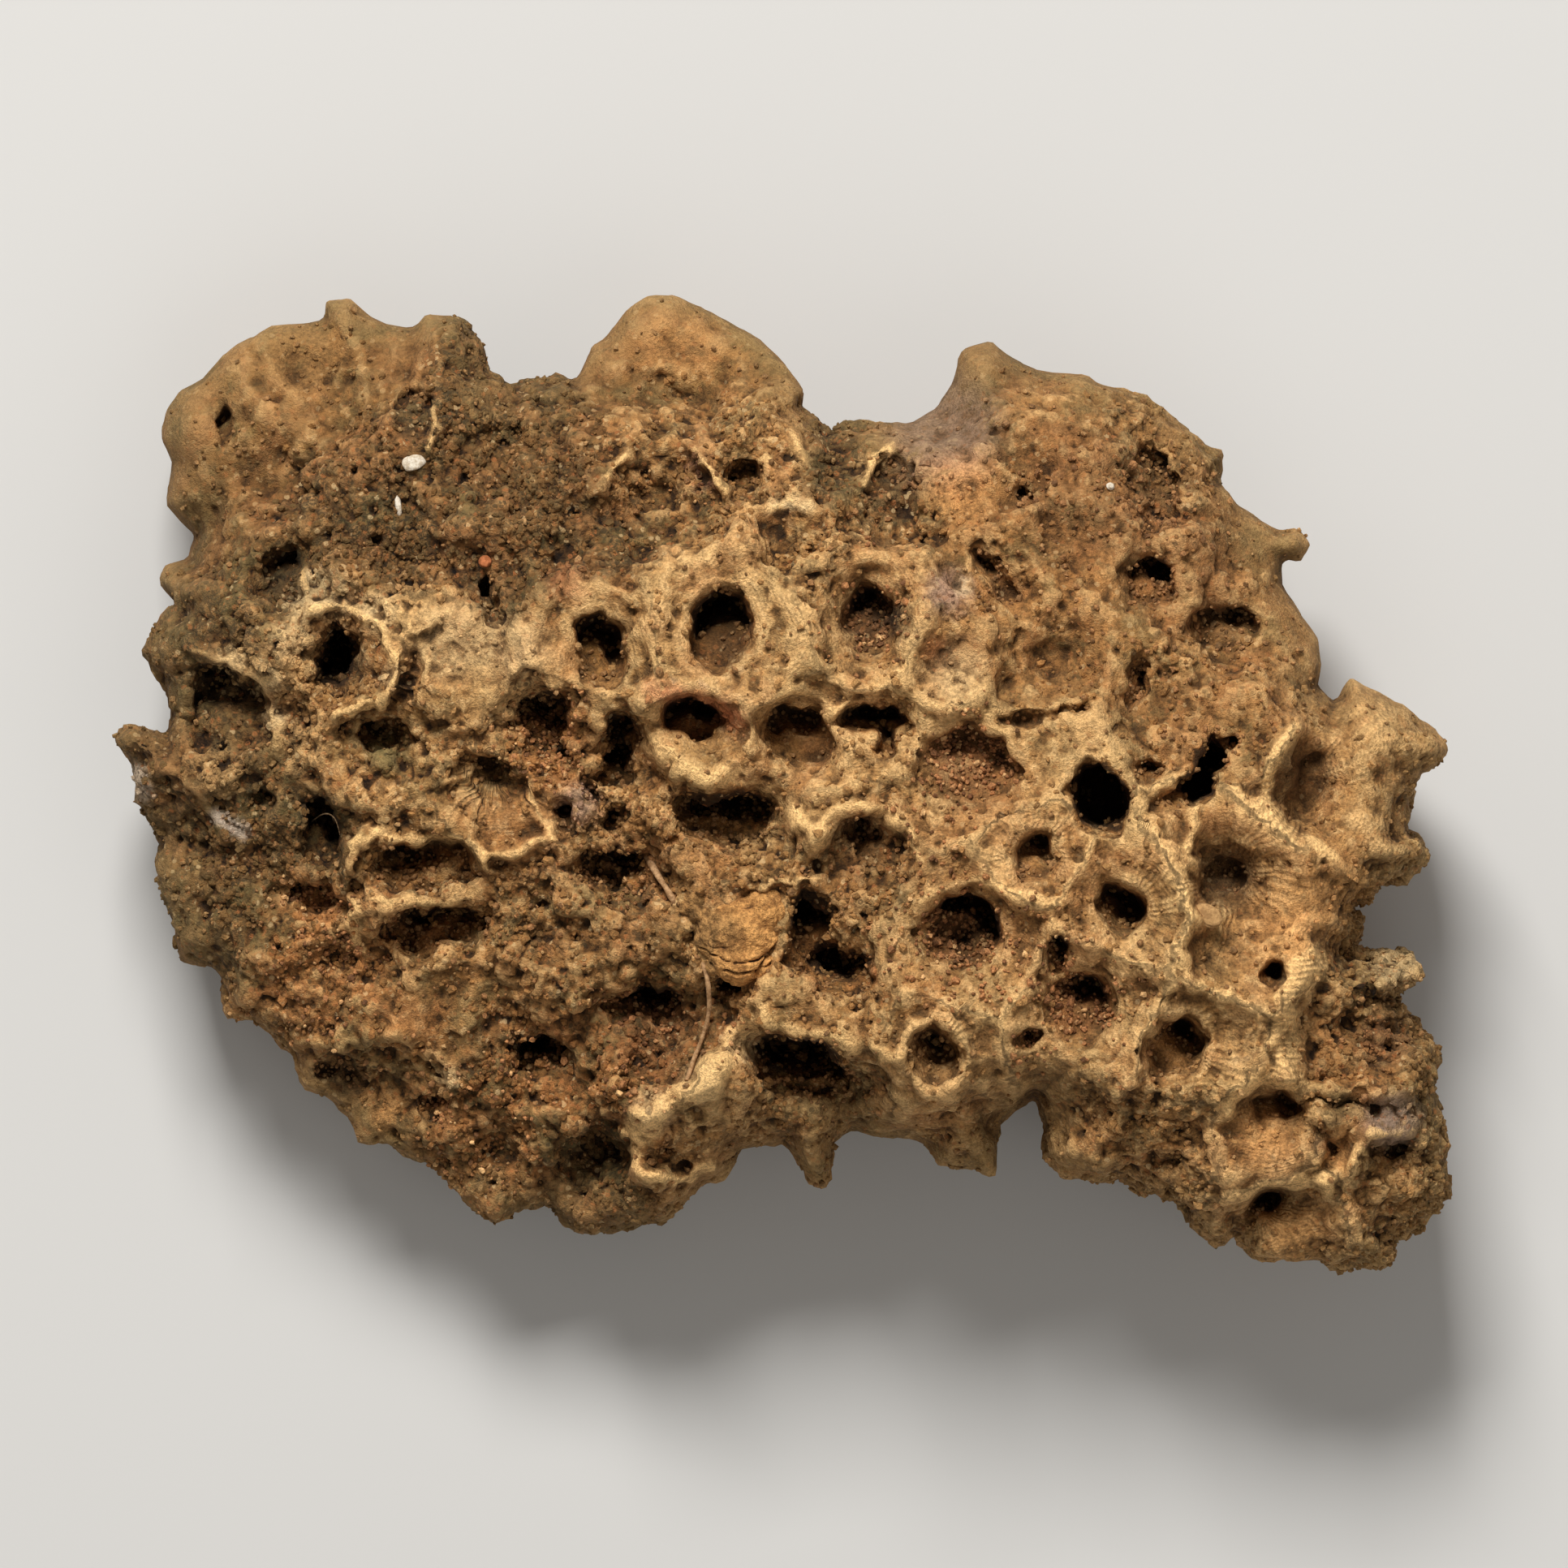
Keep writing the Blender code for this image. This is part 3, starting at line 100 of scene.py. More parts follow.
PIT_EDGE = 1.06             # Where a pit's wall begins, for its bore, on the side that leans over it.
PIT_SPREAD = 0.32           # How much further out it begins on the other side.
FLOOR_UNEVEN = 0.3          # How much a pit's floor wanders, for its bore.
CREST_UNEVEN = 0.4          # How much the walls' height changes along them.
BUMP_HEIGHT = 0.75          # Of the broad bumps, which are lower where the walls between cups are tall.
WALLS_WITHOUT_BUMPS = 1.3
BENDS = ((5.0, 0.6), (1.9, 0.3), (0.85, 0.17))  # Size and reach of the bends in straight and round edges.
TORN_LEAST = 0.08           # How far edges are torn where the rock is smooth.
TORN_BY_ROUGHNESS = 0.34    # How much further where it is crumbly.
# The band's duller colour is painted shade, where the lump's edge turns away from the light.
EDGE_BAND = 2.4             # How wide the duller, smoother band along the lump's edge is.
CRUMBLY_FROM = 24.0         # Past this, the lump's edge is crumbly instead.

# How far each kind of roughness pushes the skin out or in, in millimetres
SWELLS, KNOBS = 0.34, 0.45
GRAIN_KNOBS, RIPPLES, STEPS, PORES, BIG_BLOCKS, SMALL_BLOCKS = 0.34, 0.22, 0.45, 1.1, 0.34, 0.26

# Fine lines too small for the mesh
SEPTA = 36.0                # How many septa stand round a cup.
RINGS = 13.0                # Growth rings round a cup, in radians to the millimetre.
RIB_SPACING = 0.00055       # Of the fine ribs on the ribbed wall, in metres.

SLAB_GRID = 0.3             # Mesh size of the slab before it is shaped.
SKIN_GRID = 0.3             # Mesh size of the skin before it is thinned out.
COLONY_TRIANGLES = 196000
UNDERSIDE_TRIANGLES = 18000
FACING_DOWN = -0.3          # The underside is where the normals' z is below this.
CHUNK = 60000               # Points worked on at a time, to save memory.
SAND_COUNT, SAND_SIZES = 6000, (0.3, 1.1)
CRUMB_COUNT, CRUMB_SIZES = 8000, (0.4, 1.5)


class Cup(NamedTuple):
    """One corallite's mouth, in millimetres, seen from above."""

    name: str
    centre: tuple[float, float]                 # Middle of the mouth.
    radius: float                               # Mean radius of the mouth.
    top: float                                  # Height of its rim above the base.
    drop: float                                 # Fall of the slope from the rim to the pit.
    finish: str
    pit: tuple[float, float] | None = None      # Middle of the pit, if it isn't the mouth's.
    bore: tuple[float, float] = (1.0, 1.0)      # Half width and half length of the pit.
    turn: float = 0.0                           # Turn of that width from +X, in degrees.
    depth: float = 0.0                          # How far the pit goes down.
    ring: float = 0.0                           # Height of a raised ring round the pit.


class Hole(NamedTuple):
    """A broken opening that isn't a cup of its own."""

    pit: tuple[float, float]
    bore: tuple[float, float]
    turn: float
    depth: float


class Ridge(NamedTuple):
    """A wall's edge or a lip that stands up along a line, or a crack where its height is below 0."""

    name: str
    route: tuple[tuple[float, float], ...]
    height: float
    width: float


class Finish(NamedTuple):
    """How a cup's rock looks, from 0 to 1."""

    pale: float     # Clean worn coral.
    red: float      # Reddish sand stuck in the hollows.
    dark: float     # Dark, greenish crust, and partly painted shade where the gravel and olive finishes use it.
    rough: float    # How crumbly the surface is.
    striped: float  # How clearly the septa show as stripes round the pit.


FINISHES = {
    "pale": Finish(1.0, 0.12, 0.00, 0.40, 0.1),
    "sandy": Finish(0.9, 0.60, 0.00, 0.40, 0.1),
    "funnel": Finish(0.9, 0.15, 0.00, 0.34, 0.5),
    "fan": Finish(0.6, 0.20, 0.10, 0.45, 1.0),
    "tan": Finish(0.6, 0.25, 0.08, 0.80, 0.0),
    "worn": Finish(0.34, 0.34, 0.12, 0.50, 0.0),
    "earth": Finish(0.35, 0.35, 0.30, 0.85, 0.0),
    "red": Finish(0.2, 0.80, 0.12, 0.95, 0.0),
    # The gravel and olive finishes' dark share is painted shade as well as crust, for cups that lie in shade
    # low down and at the lump's edges.
    "gravel": Finish(0.05, 0.65, 0.40, 1.00, 0.0),
    "crust": Finish(0.06, 0.22, 1.00, 1.00, 0.0),
    "olive": Finish(0.12, 0.10, 1.00, 0.90, 0.0),
    "slate": Finish(0.20, 0.05, 0.70, 0.45, 0.0),
    "ochre": Finish(0.24, 0.12, 0.36, 0.38, 0.0),
}

# The outline, clockwise from the spur at the far left
LEFT_EDGE = (
    (-54.9, 3.7), (-53.4, 4.5), (-50.7, 3.5), (-49.9, 5.5), (-50.8, 8.7), (-52.3, 10.7), (-50.8, 13.7),
    (-49.7, 14.3), (-51.2, 16.4), (-50.9, 17.9), (-48.9, 18.3), (-48.5, 20.4), (-50.8, 22.9), (-50.3, 26.2),
    (-51.2, 28.4), (-50.9, 30.6), (-49.7, 32.3), (-47.8, 33.3), (-46.1, 35.2), (-44.7, 36.1),
)
TOP_EDGE = (
    (-42.0, 37.7), (-39.0, 37.9), (-37.6, 38.2), (-37.6, 39.7), (-35.5, 39.9), (-34.6, 38.7), (-32.5, 37.7),
    (-30.3, 37.4), (-29.2, 38.6), (-26.5, 38.1), (-24.7, 35.6), (-24.5, 33.9), (-22.8, 32.5), (-20.9, 33.1),
    (-16.8, 33.1), (-15.4, 36.1), (-14.5, 36.3), (-12.7, 38.7), (-10.8, 40.1), (-8.9, 40.1), (-5.3, 38.5),
    (-1.8, 36.5), (0.3, 34.5), (2.0, 32.1), (1.5, 30.9), (4.2, 28.6), (5.8, 29.2), (10.7, 29.5),
    (12.9, 30.6), (14.0, 32.5), (14.9, 35.3), (15.5, 35.9), (17.4, 36.1), (18.7, 35.0), (21.2, 33.8),
    (25.3, 33.5), (26.1, 32.9), (30.1, 31.5), (32.6, 29.6), (34.3, 28.7), (35.1, 27.3), (36.1, 27.1),
)
RIGHT_EDGE = (
    (36.1, 24.9), (37.8, 22.8), (40.8, 20.7), (42.8, 20.7), (43.6, 19.5), (42.9, 18.3), (41.3, 18.3),
    (41.2, 16.3), (42.7, 14.2), (44.3, 11.6), (44.6, 9.5), (44.1, 7.8), (45.5, 6.4), (46.3, 7.0),
    (47.1, 8.6), (48.5, 7.6), (51.3, 6.4), (52.1, 5.5), (54.1, 3.8), (54.6, 2.5), (54.1, 1.6), (52.1, 0.0),
    (51.7, -4.1), (52.9, -4.7), (53.4, -6.4), (51.9, -7.2), (51.6, -8.3), (49.3, -8.5), (48.7, -9.7),
    (47.2, -9.9), (47.1, -11.5), (47.6, -12.4), (46.6, -13.1), (46.6, -14.0), (48.0, -14.6), (51.7, -14.5),
    (53.0, -15.8), (50.4, -17.7), (52.1, -19.5), (53.8, -21.6), (53.7, -25.1), (54.5, -31.1), (54.9, -33.1),
    (54.2, -34.5), (51.8, -37.0), (50.4, -37.7), (50.0, -39.4),
)
LOWER_EDGE = (
    (45.9, -40.1), (44.6, -39.1), (42.3, -39.4), (39.2, -39.4), (37.5, -37.0), (36.3, -38.4), (33.3, -35.3),
    (31.9, -34.0), (30.1, -33.9), (28.1, -32.5), (26.3, -33.1), (23.2, -32.5), (21.8, -31.1), (21.9, -28.3),
    (21.1, -25.8), (17.9, -27.9), (17.6, -32.5), (16.2, -31.9), (13.1, -31.7), (12.3, -29.7), (5.7, -28.6),
    (4.3, -30.0), (3.8, -33.7), (2.6, -32.9), (1.8, -31.6), (0.4, -29.7), (-3.4, -30.2), (-4.6, -32.8),
    (-6.3, -33.1), (-9.1, -36.1), (-11.7, -36.8), (-16.7, -37.5), (-19.1, -34.9), (-21.4, -34.9),
    (-23.6, -36.5), (-25.9, -34.7), (-28.1, -32.3), (-32.7, -29.9), (-34.9, -29.8), (-35.3, -28.1),
    (-37.3, -26.0), (-39.4, -25.1), (-40.1, -22.5), (-43.5, -19.6), (-45.5, -19.3), (-46.2, -16.1),
    (-47.0, -15.0), (-48.9, -14.9), (-49.9, -13.1), (-50.8, -10.1), (-51.5, -6.5), (-50.9, -5.2),
    (-52.9, -1.9), (-53.3, 1.6),
)
OUTLINE = LEFT_EDGE + TOP_EDGE + RIGHT_EDGE + LOWER_EDGE

# How high the outline's upper edge is at a few places, as (x, y, height)
EDGE_HEIGHTS = (
    (-54, 3, 17), (-50, 29, 12), (-36, 39, 13), (-26, 37, 15), (-20, 33, 19), (-9, 40, 15), (3, 30, 20),
    (16, 36, 17), (30, 31, 17), (42, 20, 18), (44, 10, 17), (47, 8, 20), (54, 3, 19), (52, -6, 18),
    (47, -12, 19), (53, -16, 20), (54, -33, 18), (46, -40, 17), (36, -38, 18), (22, -30, 19), (15, -31, 18),
    (4, -33, 12), (0, -29, 15), (-8, -35, 15), (-17, -37, 14), (-25, -36, 13), (-35, -29, 14),
    (-45, -18, 14), (-51, -8, 15),
)
EDGE_HEIGHT_REACH = 9.0

CUPS = (
    # The pale belt across the middle, which stands highest
    Cup("great_eye", (-4.4, 11.9), 6.3, 35.0, 1.8, "pale", (-4.7, 12.4), (2.9, 3.1), 0, 12.0, 0.5),
    Cup("left_eye", (-15.7, 11.4), 5.2, 33.5, 1.4, "pale", (-15.2, 10.8), (2.2, 2.6), 10, 12.0, 0.3),
    Cup("right_eye", (6.6, 14.4), 4.6, 34.0, 3.2, "sandy", (7.2, 13.4), (1.6, 2.5), 10, 8.0),
    Cup("lower_eye", (-6.0, 4.2), 3.8, 33.2, 2.6, "pale", (-7.4, 5.2), (2.3, 1.6), -10, 10.0),
    Cup("hooded_cup", (2.3, 3.4), 4.3, 32.5, 2.4, "pale", (1.9, 4.5), (3.0, 2.1), -8, 5.5),
    Cup("wedge_cup", (8.3, 4.0), 3.2, 32.0, 1.6, "pale", (7.9, 5.6), (2.8, 1.2), -4, 10.0),
    Cup("red_bowl", (14.9, 0.9), 5.2, 32.6, 1.0, "sandy", (15.3, 1.7), (4.3, 3.1), -8, 3.8),
    Cup("west_ledge", (-27.0, 11.0), 4.4, 31.0, 0.4, "pale"),
    Cup("sandy_spot", (13.9, 10.2), 3.4, 33.4, 0.9, "pale"),
    Cup("pale_saddle", (4.2, -2.6), 3.0, 33.2, 0.3, "pale"),
    Cup("pale_bridge", (22.3, 2.6), 4.0, 32.8, 0.4, "pale"),

    # The raised group on the right
    Cup("small_eye", (20.9, -5.9), 4.0, 34.0, 0.9, "funnel", (21.2, -6.1), (1.7, 1.8), 0, 6.0, 0.5),
    Cup("round_eye", (28.3, -10.7), 4.6, 34.5, 2.0, "funnel", (27.9, -10.5), (1.5, 2.0), 0, 9.0, 0.6),
    Cup("great_funnel", (40.1, -10.3), 7.3, 32.8, 5.6, "funnel", (36.5, -7.9), (1.9, 2.3), 0, 2.6),
    Cup("east_funnel", (45.9, -1.3), 6.8, 29.5, 5.5, "funnel", (43.2, 0.0), (1.2, 2.0), -10),
    Cup("deep_bowl", (15.6, -12.5), 5.6, 33.0, 1.4, "sandy", (14.9, -12.1), (3.4, 2.8), 5, 12.0),
    Cup("sandy_eye", (25.8, -18.6), 5.5, 33.6, 2.0, "sandy", (24.6, -18.6), (2.6, 2.8), 0, 7.5),
    Cup("tube_mouth", (12.8, -22.6), 4.3, 33.0, 0.8, "funnel", (12.8, -22.6), (2.1, 2.2), 0, 7.0, 1.8),
    Cup("south_eye", (34.3, -21.9), 4.8, 32.4, 1.8, "funnel", (32.8, -21.9), (1.9, 2.4), -25, 7.0, 0.9),
    Cup("sand_cup", (47.6, -21.6), 6.2, 29.0, 2.4, "earth", (49.4, -21.2), (3.4, 2.2), 0, 1.6),
    Cup("mauve_slab", (50.0, -27.9), 3.4, 27.6, 0.3, "slate"),
    Cup("ragged_cup", (39.4, -28.2), 4.6, 29.5, 3.6, "funnel", (40.6, -26.5), (2.0, 0.9), -8, 4.5),
    Cup("foot_cup", (41.8, -36.4), 4.6, 25.5, 3.2, "funnel", (39.9, -34.8), (2.0, 1.0), 30, 7.0),
    Cup("east_cave", (50.2, -33.2), 4.2, 25.0, 1.6, "tan", (50.2, -30.6), (2.1, 0.8), 6, 6.0),
    Cup("smooth_nook", (45.8, -30.4), 2.4, 27.2, 0.8, "funnel"),
    Cup("ragged_south", (31.2, -29.2), 3.8, 28.5, 0.8, "tan", (30.9, -31.2), (1.1, 0.5), 0, 5.0),
    Cup("south_stub", (24.8, -28.6), 3.6, 29.0, 0.6, "tan"),
    Cup("hanging_stub", (15.2, -29.6), 3.0, 24.5, 0.6, "tan"),
    Cup("east_rim", (47.2, -13.8), 3.2, 28.5, 1.4, "tan"),

    # Broken cups on the left of the belt
    Cup("left_window", (-35.7, 10.7), 4.9, 29.5, 2.6, "tan", (-36.4, 10.5), (1.25, 2.6), -5, 14.0),
    Cup("left_hollow", (-45.2, 5.6), 4.5, 25.0, 1.6, "olive", (-45.6, 5.8), (3.3, 3.9), 0, 7.0),
    Cup("green_cup", (-32.3, 2.6), 4.1, 28.4, 1.8, "tan", (-32.1, 3.6), (2.4, 1.5), 0, 4.5),
    Cup("west_cup", (-40.7, 17.4), 3.2, 25.8, 0.8, "olive", (-40.9, 17.0), (1.8, 2.6), -10, 6.0),
    Cup("split_cave", (-19.4, 4.0), 4.1, 28.4, 1.4, "red", (-19.0, 5.3), (2.6, 2.5), -20, 11.0),
    Cup("comb_wall", (-13.4, 1.6), 3.2, 27.6, 0.8, "tan"),
    Cup("striped_slope", (-22.9, -2.9), 4.8, 27.8, 2.6, "fan", (-23.7, 1.4), (1.5, 0.9), 0, 4.0),
    Cup("arched_cup", (-30.1, -7.3), 4.8, 27.4, 2.0, "tan", (-29.2, -7.0), (4.2, 2.2), -8, 5.0),
    Cup("slot_cave", (-28.1, -12.2), 4.6, 25.2, 2.2, "tan", (-28.1, -11.9), (4.7, 1.5), 0, 8.0),
    Cup("red_groove", (-39.4, -10.8), 4.2, 21.8, 1.8, "red", (-38.7, -9.5), (3.2, 1.0), 0, 4.0),
    Cup("hair_cave", (-37.7, -4.6), 3.6, 25.0, 1.4, "olive", (-37.8, -3.9), (2.1, 3.0), 0, 9.0),
    Cup("west_knob", (-46.2, -7.6), 5.2, 20.6, 0.8, "olive", (-47.4, -5.3), (1.3, 1.0), 0, 2.6),

    # The hollows below the belt
    Cup("ledge_cave", (-4.0, -3.4), 5.4, 29.6, 1.6, "tan", (-4.6, -2.5), (4.4, 2.4), -4, 10.0),
    Cup("keyhole", (6.5, -6.6), 4.3, 31.8, 3.4, "earth", (6.7, -4.0), (1.5, 1.3), 0, 6.0),
    Cup("long_cave", (-13.1, -8.4), 4.8, 28.0, 1.6, "earth", (-13.6, -7.8), (3.7, 2.3), -12, 7.5),
    Cup("clay_seat", (-3.1, -12.3), 4.5, 29.4, 0.4, "tan"),
    Cup("mid_slope", (-19.0, -13.0), 4.8, 26.4, 0.9, "earth"),
    Cup("broken_cave", (3.6, -13.6), 3.4, 30.0, 1.0, "tan", (2.3, -12.3), (1.8, 3.5), -6, 13.0),
    Cup("pale_shelf", (3.4, -19.0), 4.4, 31.4, 0.5, "tan"),
    Cup("sand_slide", (-10.4, -21.3), 5.1, 25.6, 3.0, "gravel", (-10.8, -18.0), (3.0, 1.3), 0, 11.0),
    Cup("gravel_pit", (-20.1, -24.4), 5.0, 21.0, 1.8, "gravel", (-19.9, -22.5), (2.5, 1.9), 10, 12.0),
    Cup("south_cave", (1.8, -24.6), 5.2, 26.0, 2.4, "earth", (2.0, -23.9), (4.6, 2.5), -14, 12.0),
    Cup("stub_mouth", (-8.7, -30.4), 3.8, 24.5, 0.8, "tan", (-10.2, -30.0), (1.3, 1.0), 0, 4.0),
    Cup("crumb_spur", (-5.2, -25.8), 2.8, 28.0, 0.4, "pale"),
    Cup("low_flat", (-27.2, -17.8), 5.0, 23.0, 0.8, "worn"),
    Cup("west_slope", (-36.8, -15.8), 4.8, 21.0, 0.8, "red"),
    Cup("folded_foot", (-33.5, -26.0), 4.0, 17.4, 1.0, "earth"),
    Cup("gravel_tail", (-24.6, -30.2), 3.8, 17.6, 1.4, "gravel"),
    Cup("south_shade", (-15.4, -31.8), 4.0, 17.5, 2.4, "olive", (-15.6, -31.4), (2.6, 1.3), 15, 3.0),

    # The worn slope along the top
    Cup("curled_cup", (-1.7, 26.4), 3.7, 28.6, 1.0, "tan", (-3.4, 25.2), (1.3, 1.7), 20, 7.0),
    Cup("sunk_dish", (-10.1, 24.2), 4.4, 28.4, 2.8, "earth"),
    Cup("sand_ring", (1.3, 20.6), 3.5, 31.2, 0.8, "tan", (1.1, 20.6), (2.7, 2.3), 0, 0.0, 0.9),
    Cup("half_moon", (9.4, 23.9), 3.8, 28.6, 1.0, "earth", (9.2, 23.3), (2.4, 3.8), 0, 1.8),
    Cup("smooth_dish", (14.9, 23.8), 3.6, 28.2, 0.5, "ochre"),
    Cup("worn_ring", (20.5, 27.4), 3.4, 26.2, 0.6, "worn", (20.3, 27.4), (2.0, 2.0), 0, 0.0, 0.3),
    Cup("north_oval", (31.4, 24.2), 3.6, 25.6, 1.0, "earth", (30.9, 24.2), (2.0, 3.6), 12, 3.6),
    Cup("north_cup", (30.4, 16.6), 3.8, 29.2, 1.0, "worn", (30.7, 16.7), (2.3, 2.5), -15, 8.0),
    Cup("east_cup", (37.8, 12.3), 4.6, 26.4, 1.2, "worn", (36.8, 12.6), (2.9, 2.3), -10, 5.0),
    Cup("torn_cup", (18.0, 16.6), 4.0, 31.0, 1.2, "worn", (17.3, 17.0), (2.3, 0.9), -35, 5.0),
    Cup("long_dish", (22.2, 9.9), 4.6, 30.6, 2.0, "worn"),
    Cup("pocked_cup", (31.0, 7.4), 3.9, 31.0, 1.2, "worn", (29.5, 8.1), (1.0, 1.5), -15, 6.0),
    Cup("comb_cup", (38.0, 4.6), 3.8, 30.6, 0.5, "worn"),
    Cup("mottled_slope", (24.8, 20.4), 3.8, 28.8, 0.8, "worn"),
    Cup("east_slope", (38.2, 18.6), 3.4, 23.6, 0.6, "worn"),
    Cup("slit_cup", (-24.4, 18.2), 4.6, 29.6, 1.4, "crust", (-23.3, 15.3), (0.8, 2.2), 8, 8.0),
    Cup("worn_dish", (-22.7, 27.6), 4.9, 25.0, 1.4, "crust"),
    Cup("lobe_dish", (-39.9, 34.3), 5.6, 20.0, 2.2, "ochre"),
    Cup("top_lobe", (-8.1, 35.4), 5.2, 20.6, 1.8, "ochre", (-8.1, 31.9), (1.0, 0.7), 0, 3.0),
    Cup("sand_flat", (-16.8, 20.2), 4.6, 29.4, 0.7, "crust"),
    Cup("dark_flat", (-31.4, 23.0), 4.8, 25.8, 1.0, "crust"),
    Cup("north_west_side", (-45.6, 26.6), 4.6, 17.6, 0.6, "slate", (-45.9, 28.8), (0.6, 1.9), 0, 4.5),
    Cup("north_horn", (15.6, 31.6), 3.4, 23.4, 0.4, "slate"),
    Cup("north_saddle", (4.6, 26.8), 2.6, 27.0, 0.4, "crust"),
)

HOLES = (
    Hole((26.5, -1.1), (2.2, 3.0), 22, 14.0),
    Hole((24.6, -0.5), (1.2, 0.9), 10, 10.0),
    Hole((30.3, 1.3), (1.5, 0.8), -8, 6.0),
    Hole((34.4, -0.6), (1.4, 1.4), 0, 14.0),
    Hole((35.2, 1.4), (1.1, 2.4), -12, 14.0),
    Hole((36.6, 3.0), (1.3, 0.7), 25, 8.0),
    Hole((32.6, -1.4), (2.0, 0.9), 8, 5.0),
    Hole((22.9, -14.3), (1.0, 1.6), 8, 9.0),
    Hole((40.8, -15.7), (1.2, 0.8), 20, 9.0),
    Hole((20.3, -21.1), (1.1, 0.6), 0, 6.0),
    Hole((24.7, -6.5), (0.6, 0.6), 0, 2.0),
    Hole((-17.6, -3.3), (0.7, 1.7), 12, 8.0),
    Hole((-13.7, -3.1), (0.7, 1.4), -6, 8.0),
    Hole((-17.4, 2.0), (0.7, 0.8), 30, 6.0),
    Hole((-18.4, 4.2), (0.8, 1.6), 10, 8.0),
    Hole((-12.3, 4.0), (1.9, 1.6), -20, 10.0),
    Hole((-13.6, 1.2), (0.8, 1.5), 8, 8.0),
    Hole((-15.5, -0.6), (1.0, 0.5), 0, 4.0),
    Hole((-23.1, -7.4), (1.1, 0.5), -12, 4.0),
    Hole((-9.0, -5.2), (0.9, 0.6), 30, 4.0),
    Hole((-2.1, -7.0), (0.6, 0.5), 0, 5.0),
    Hole((-7.7, -13.8), (0.6, 0.8), 0, 5.0),
    Hole((-4.2, -17.5), (1.4, 1.2), 30, 10.0),
    Hole((4.7, -15.3), (2.9, 2.0), -25, 12.0),
    Hole((-12.9, 2.0), (0.8, 2.2), 4, 9.0),
    Hole((8.3, 3.6), (0.9, 1.7), 10, 8.0),
    Hole((-14.4, -9.0), (1.7, 1.9), 20, 6.0),
    Hole((-34.6, -8.6), (0.7, 1.2), 0, 4.0),
    Hole((43.6, -24.5), (1.3, 0.35), 10, 4.0),
    Hole((42.9, -20.1), (0.4, 0.4), 0, 2.0),
    Hole((45.7, -26.9), (1.3, 0.5), -12, 4.0),
    Hole((48.4, -17.9), (2.0, 0.7), 4, 3.5),
    Hole((47.5, -32.2), (0.45, 0.6), 0, 4.0),
    Hole((44.0, -28.9), (0.9, 0.9), 0, 4.0),
    Hole((44.5, -31.3), (0.6, 1.6), 5, 4.0),
    Hole((-42.6, -1.4), (1.6, 0.6), 25, 4.0),
    Hole((36.5, -29.8), (0.4, 1.1), 20, 5.0),
    Hole((19.6, 23.1), (0.5, 1.3), 30, 3.5),
    Hole((24.2, 25.9), (1.0, 0.35), 20, 2.0),
    Hole((31.9, 8.9), (0.5, 0.5), 0, 3.0),
    Hole((-2.6, 25.0), (1.6, 0.7), 0, 3.0),
    Hole((-35.9, -24.2), (2.3, 1.0), 0, 3.5),
    Hole((-30.0, 30.0), (1.6, 2.5), 0, 3.2),
    Hole((-28.7, -26.7), (1.2, 0.9), 20, 4.0),
    Hole((-31.9, -29.2), (0.6, 0.4), 0, 2.0),
    Hole((-8.0, -31.3), (1.0, 0.7), 20, 3.0),
)

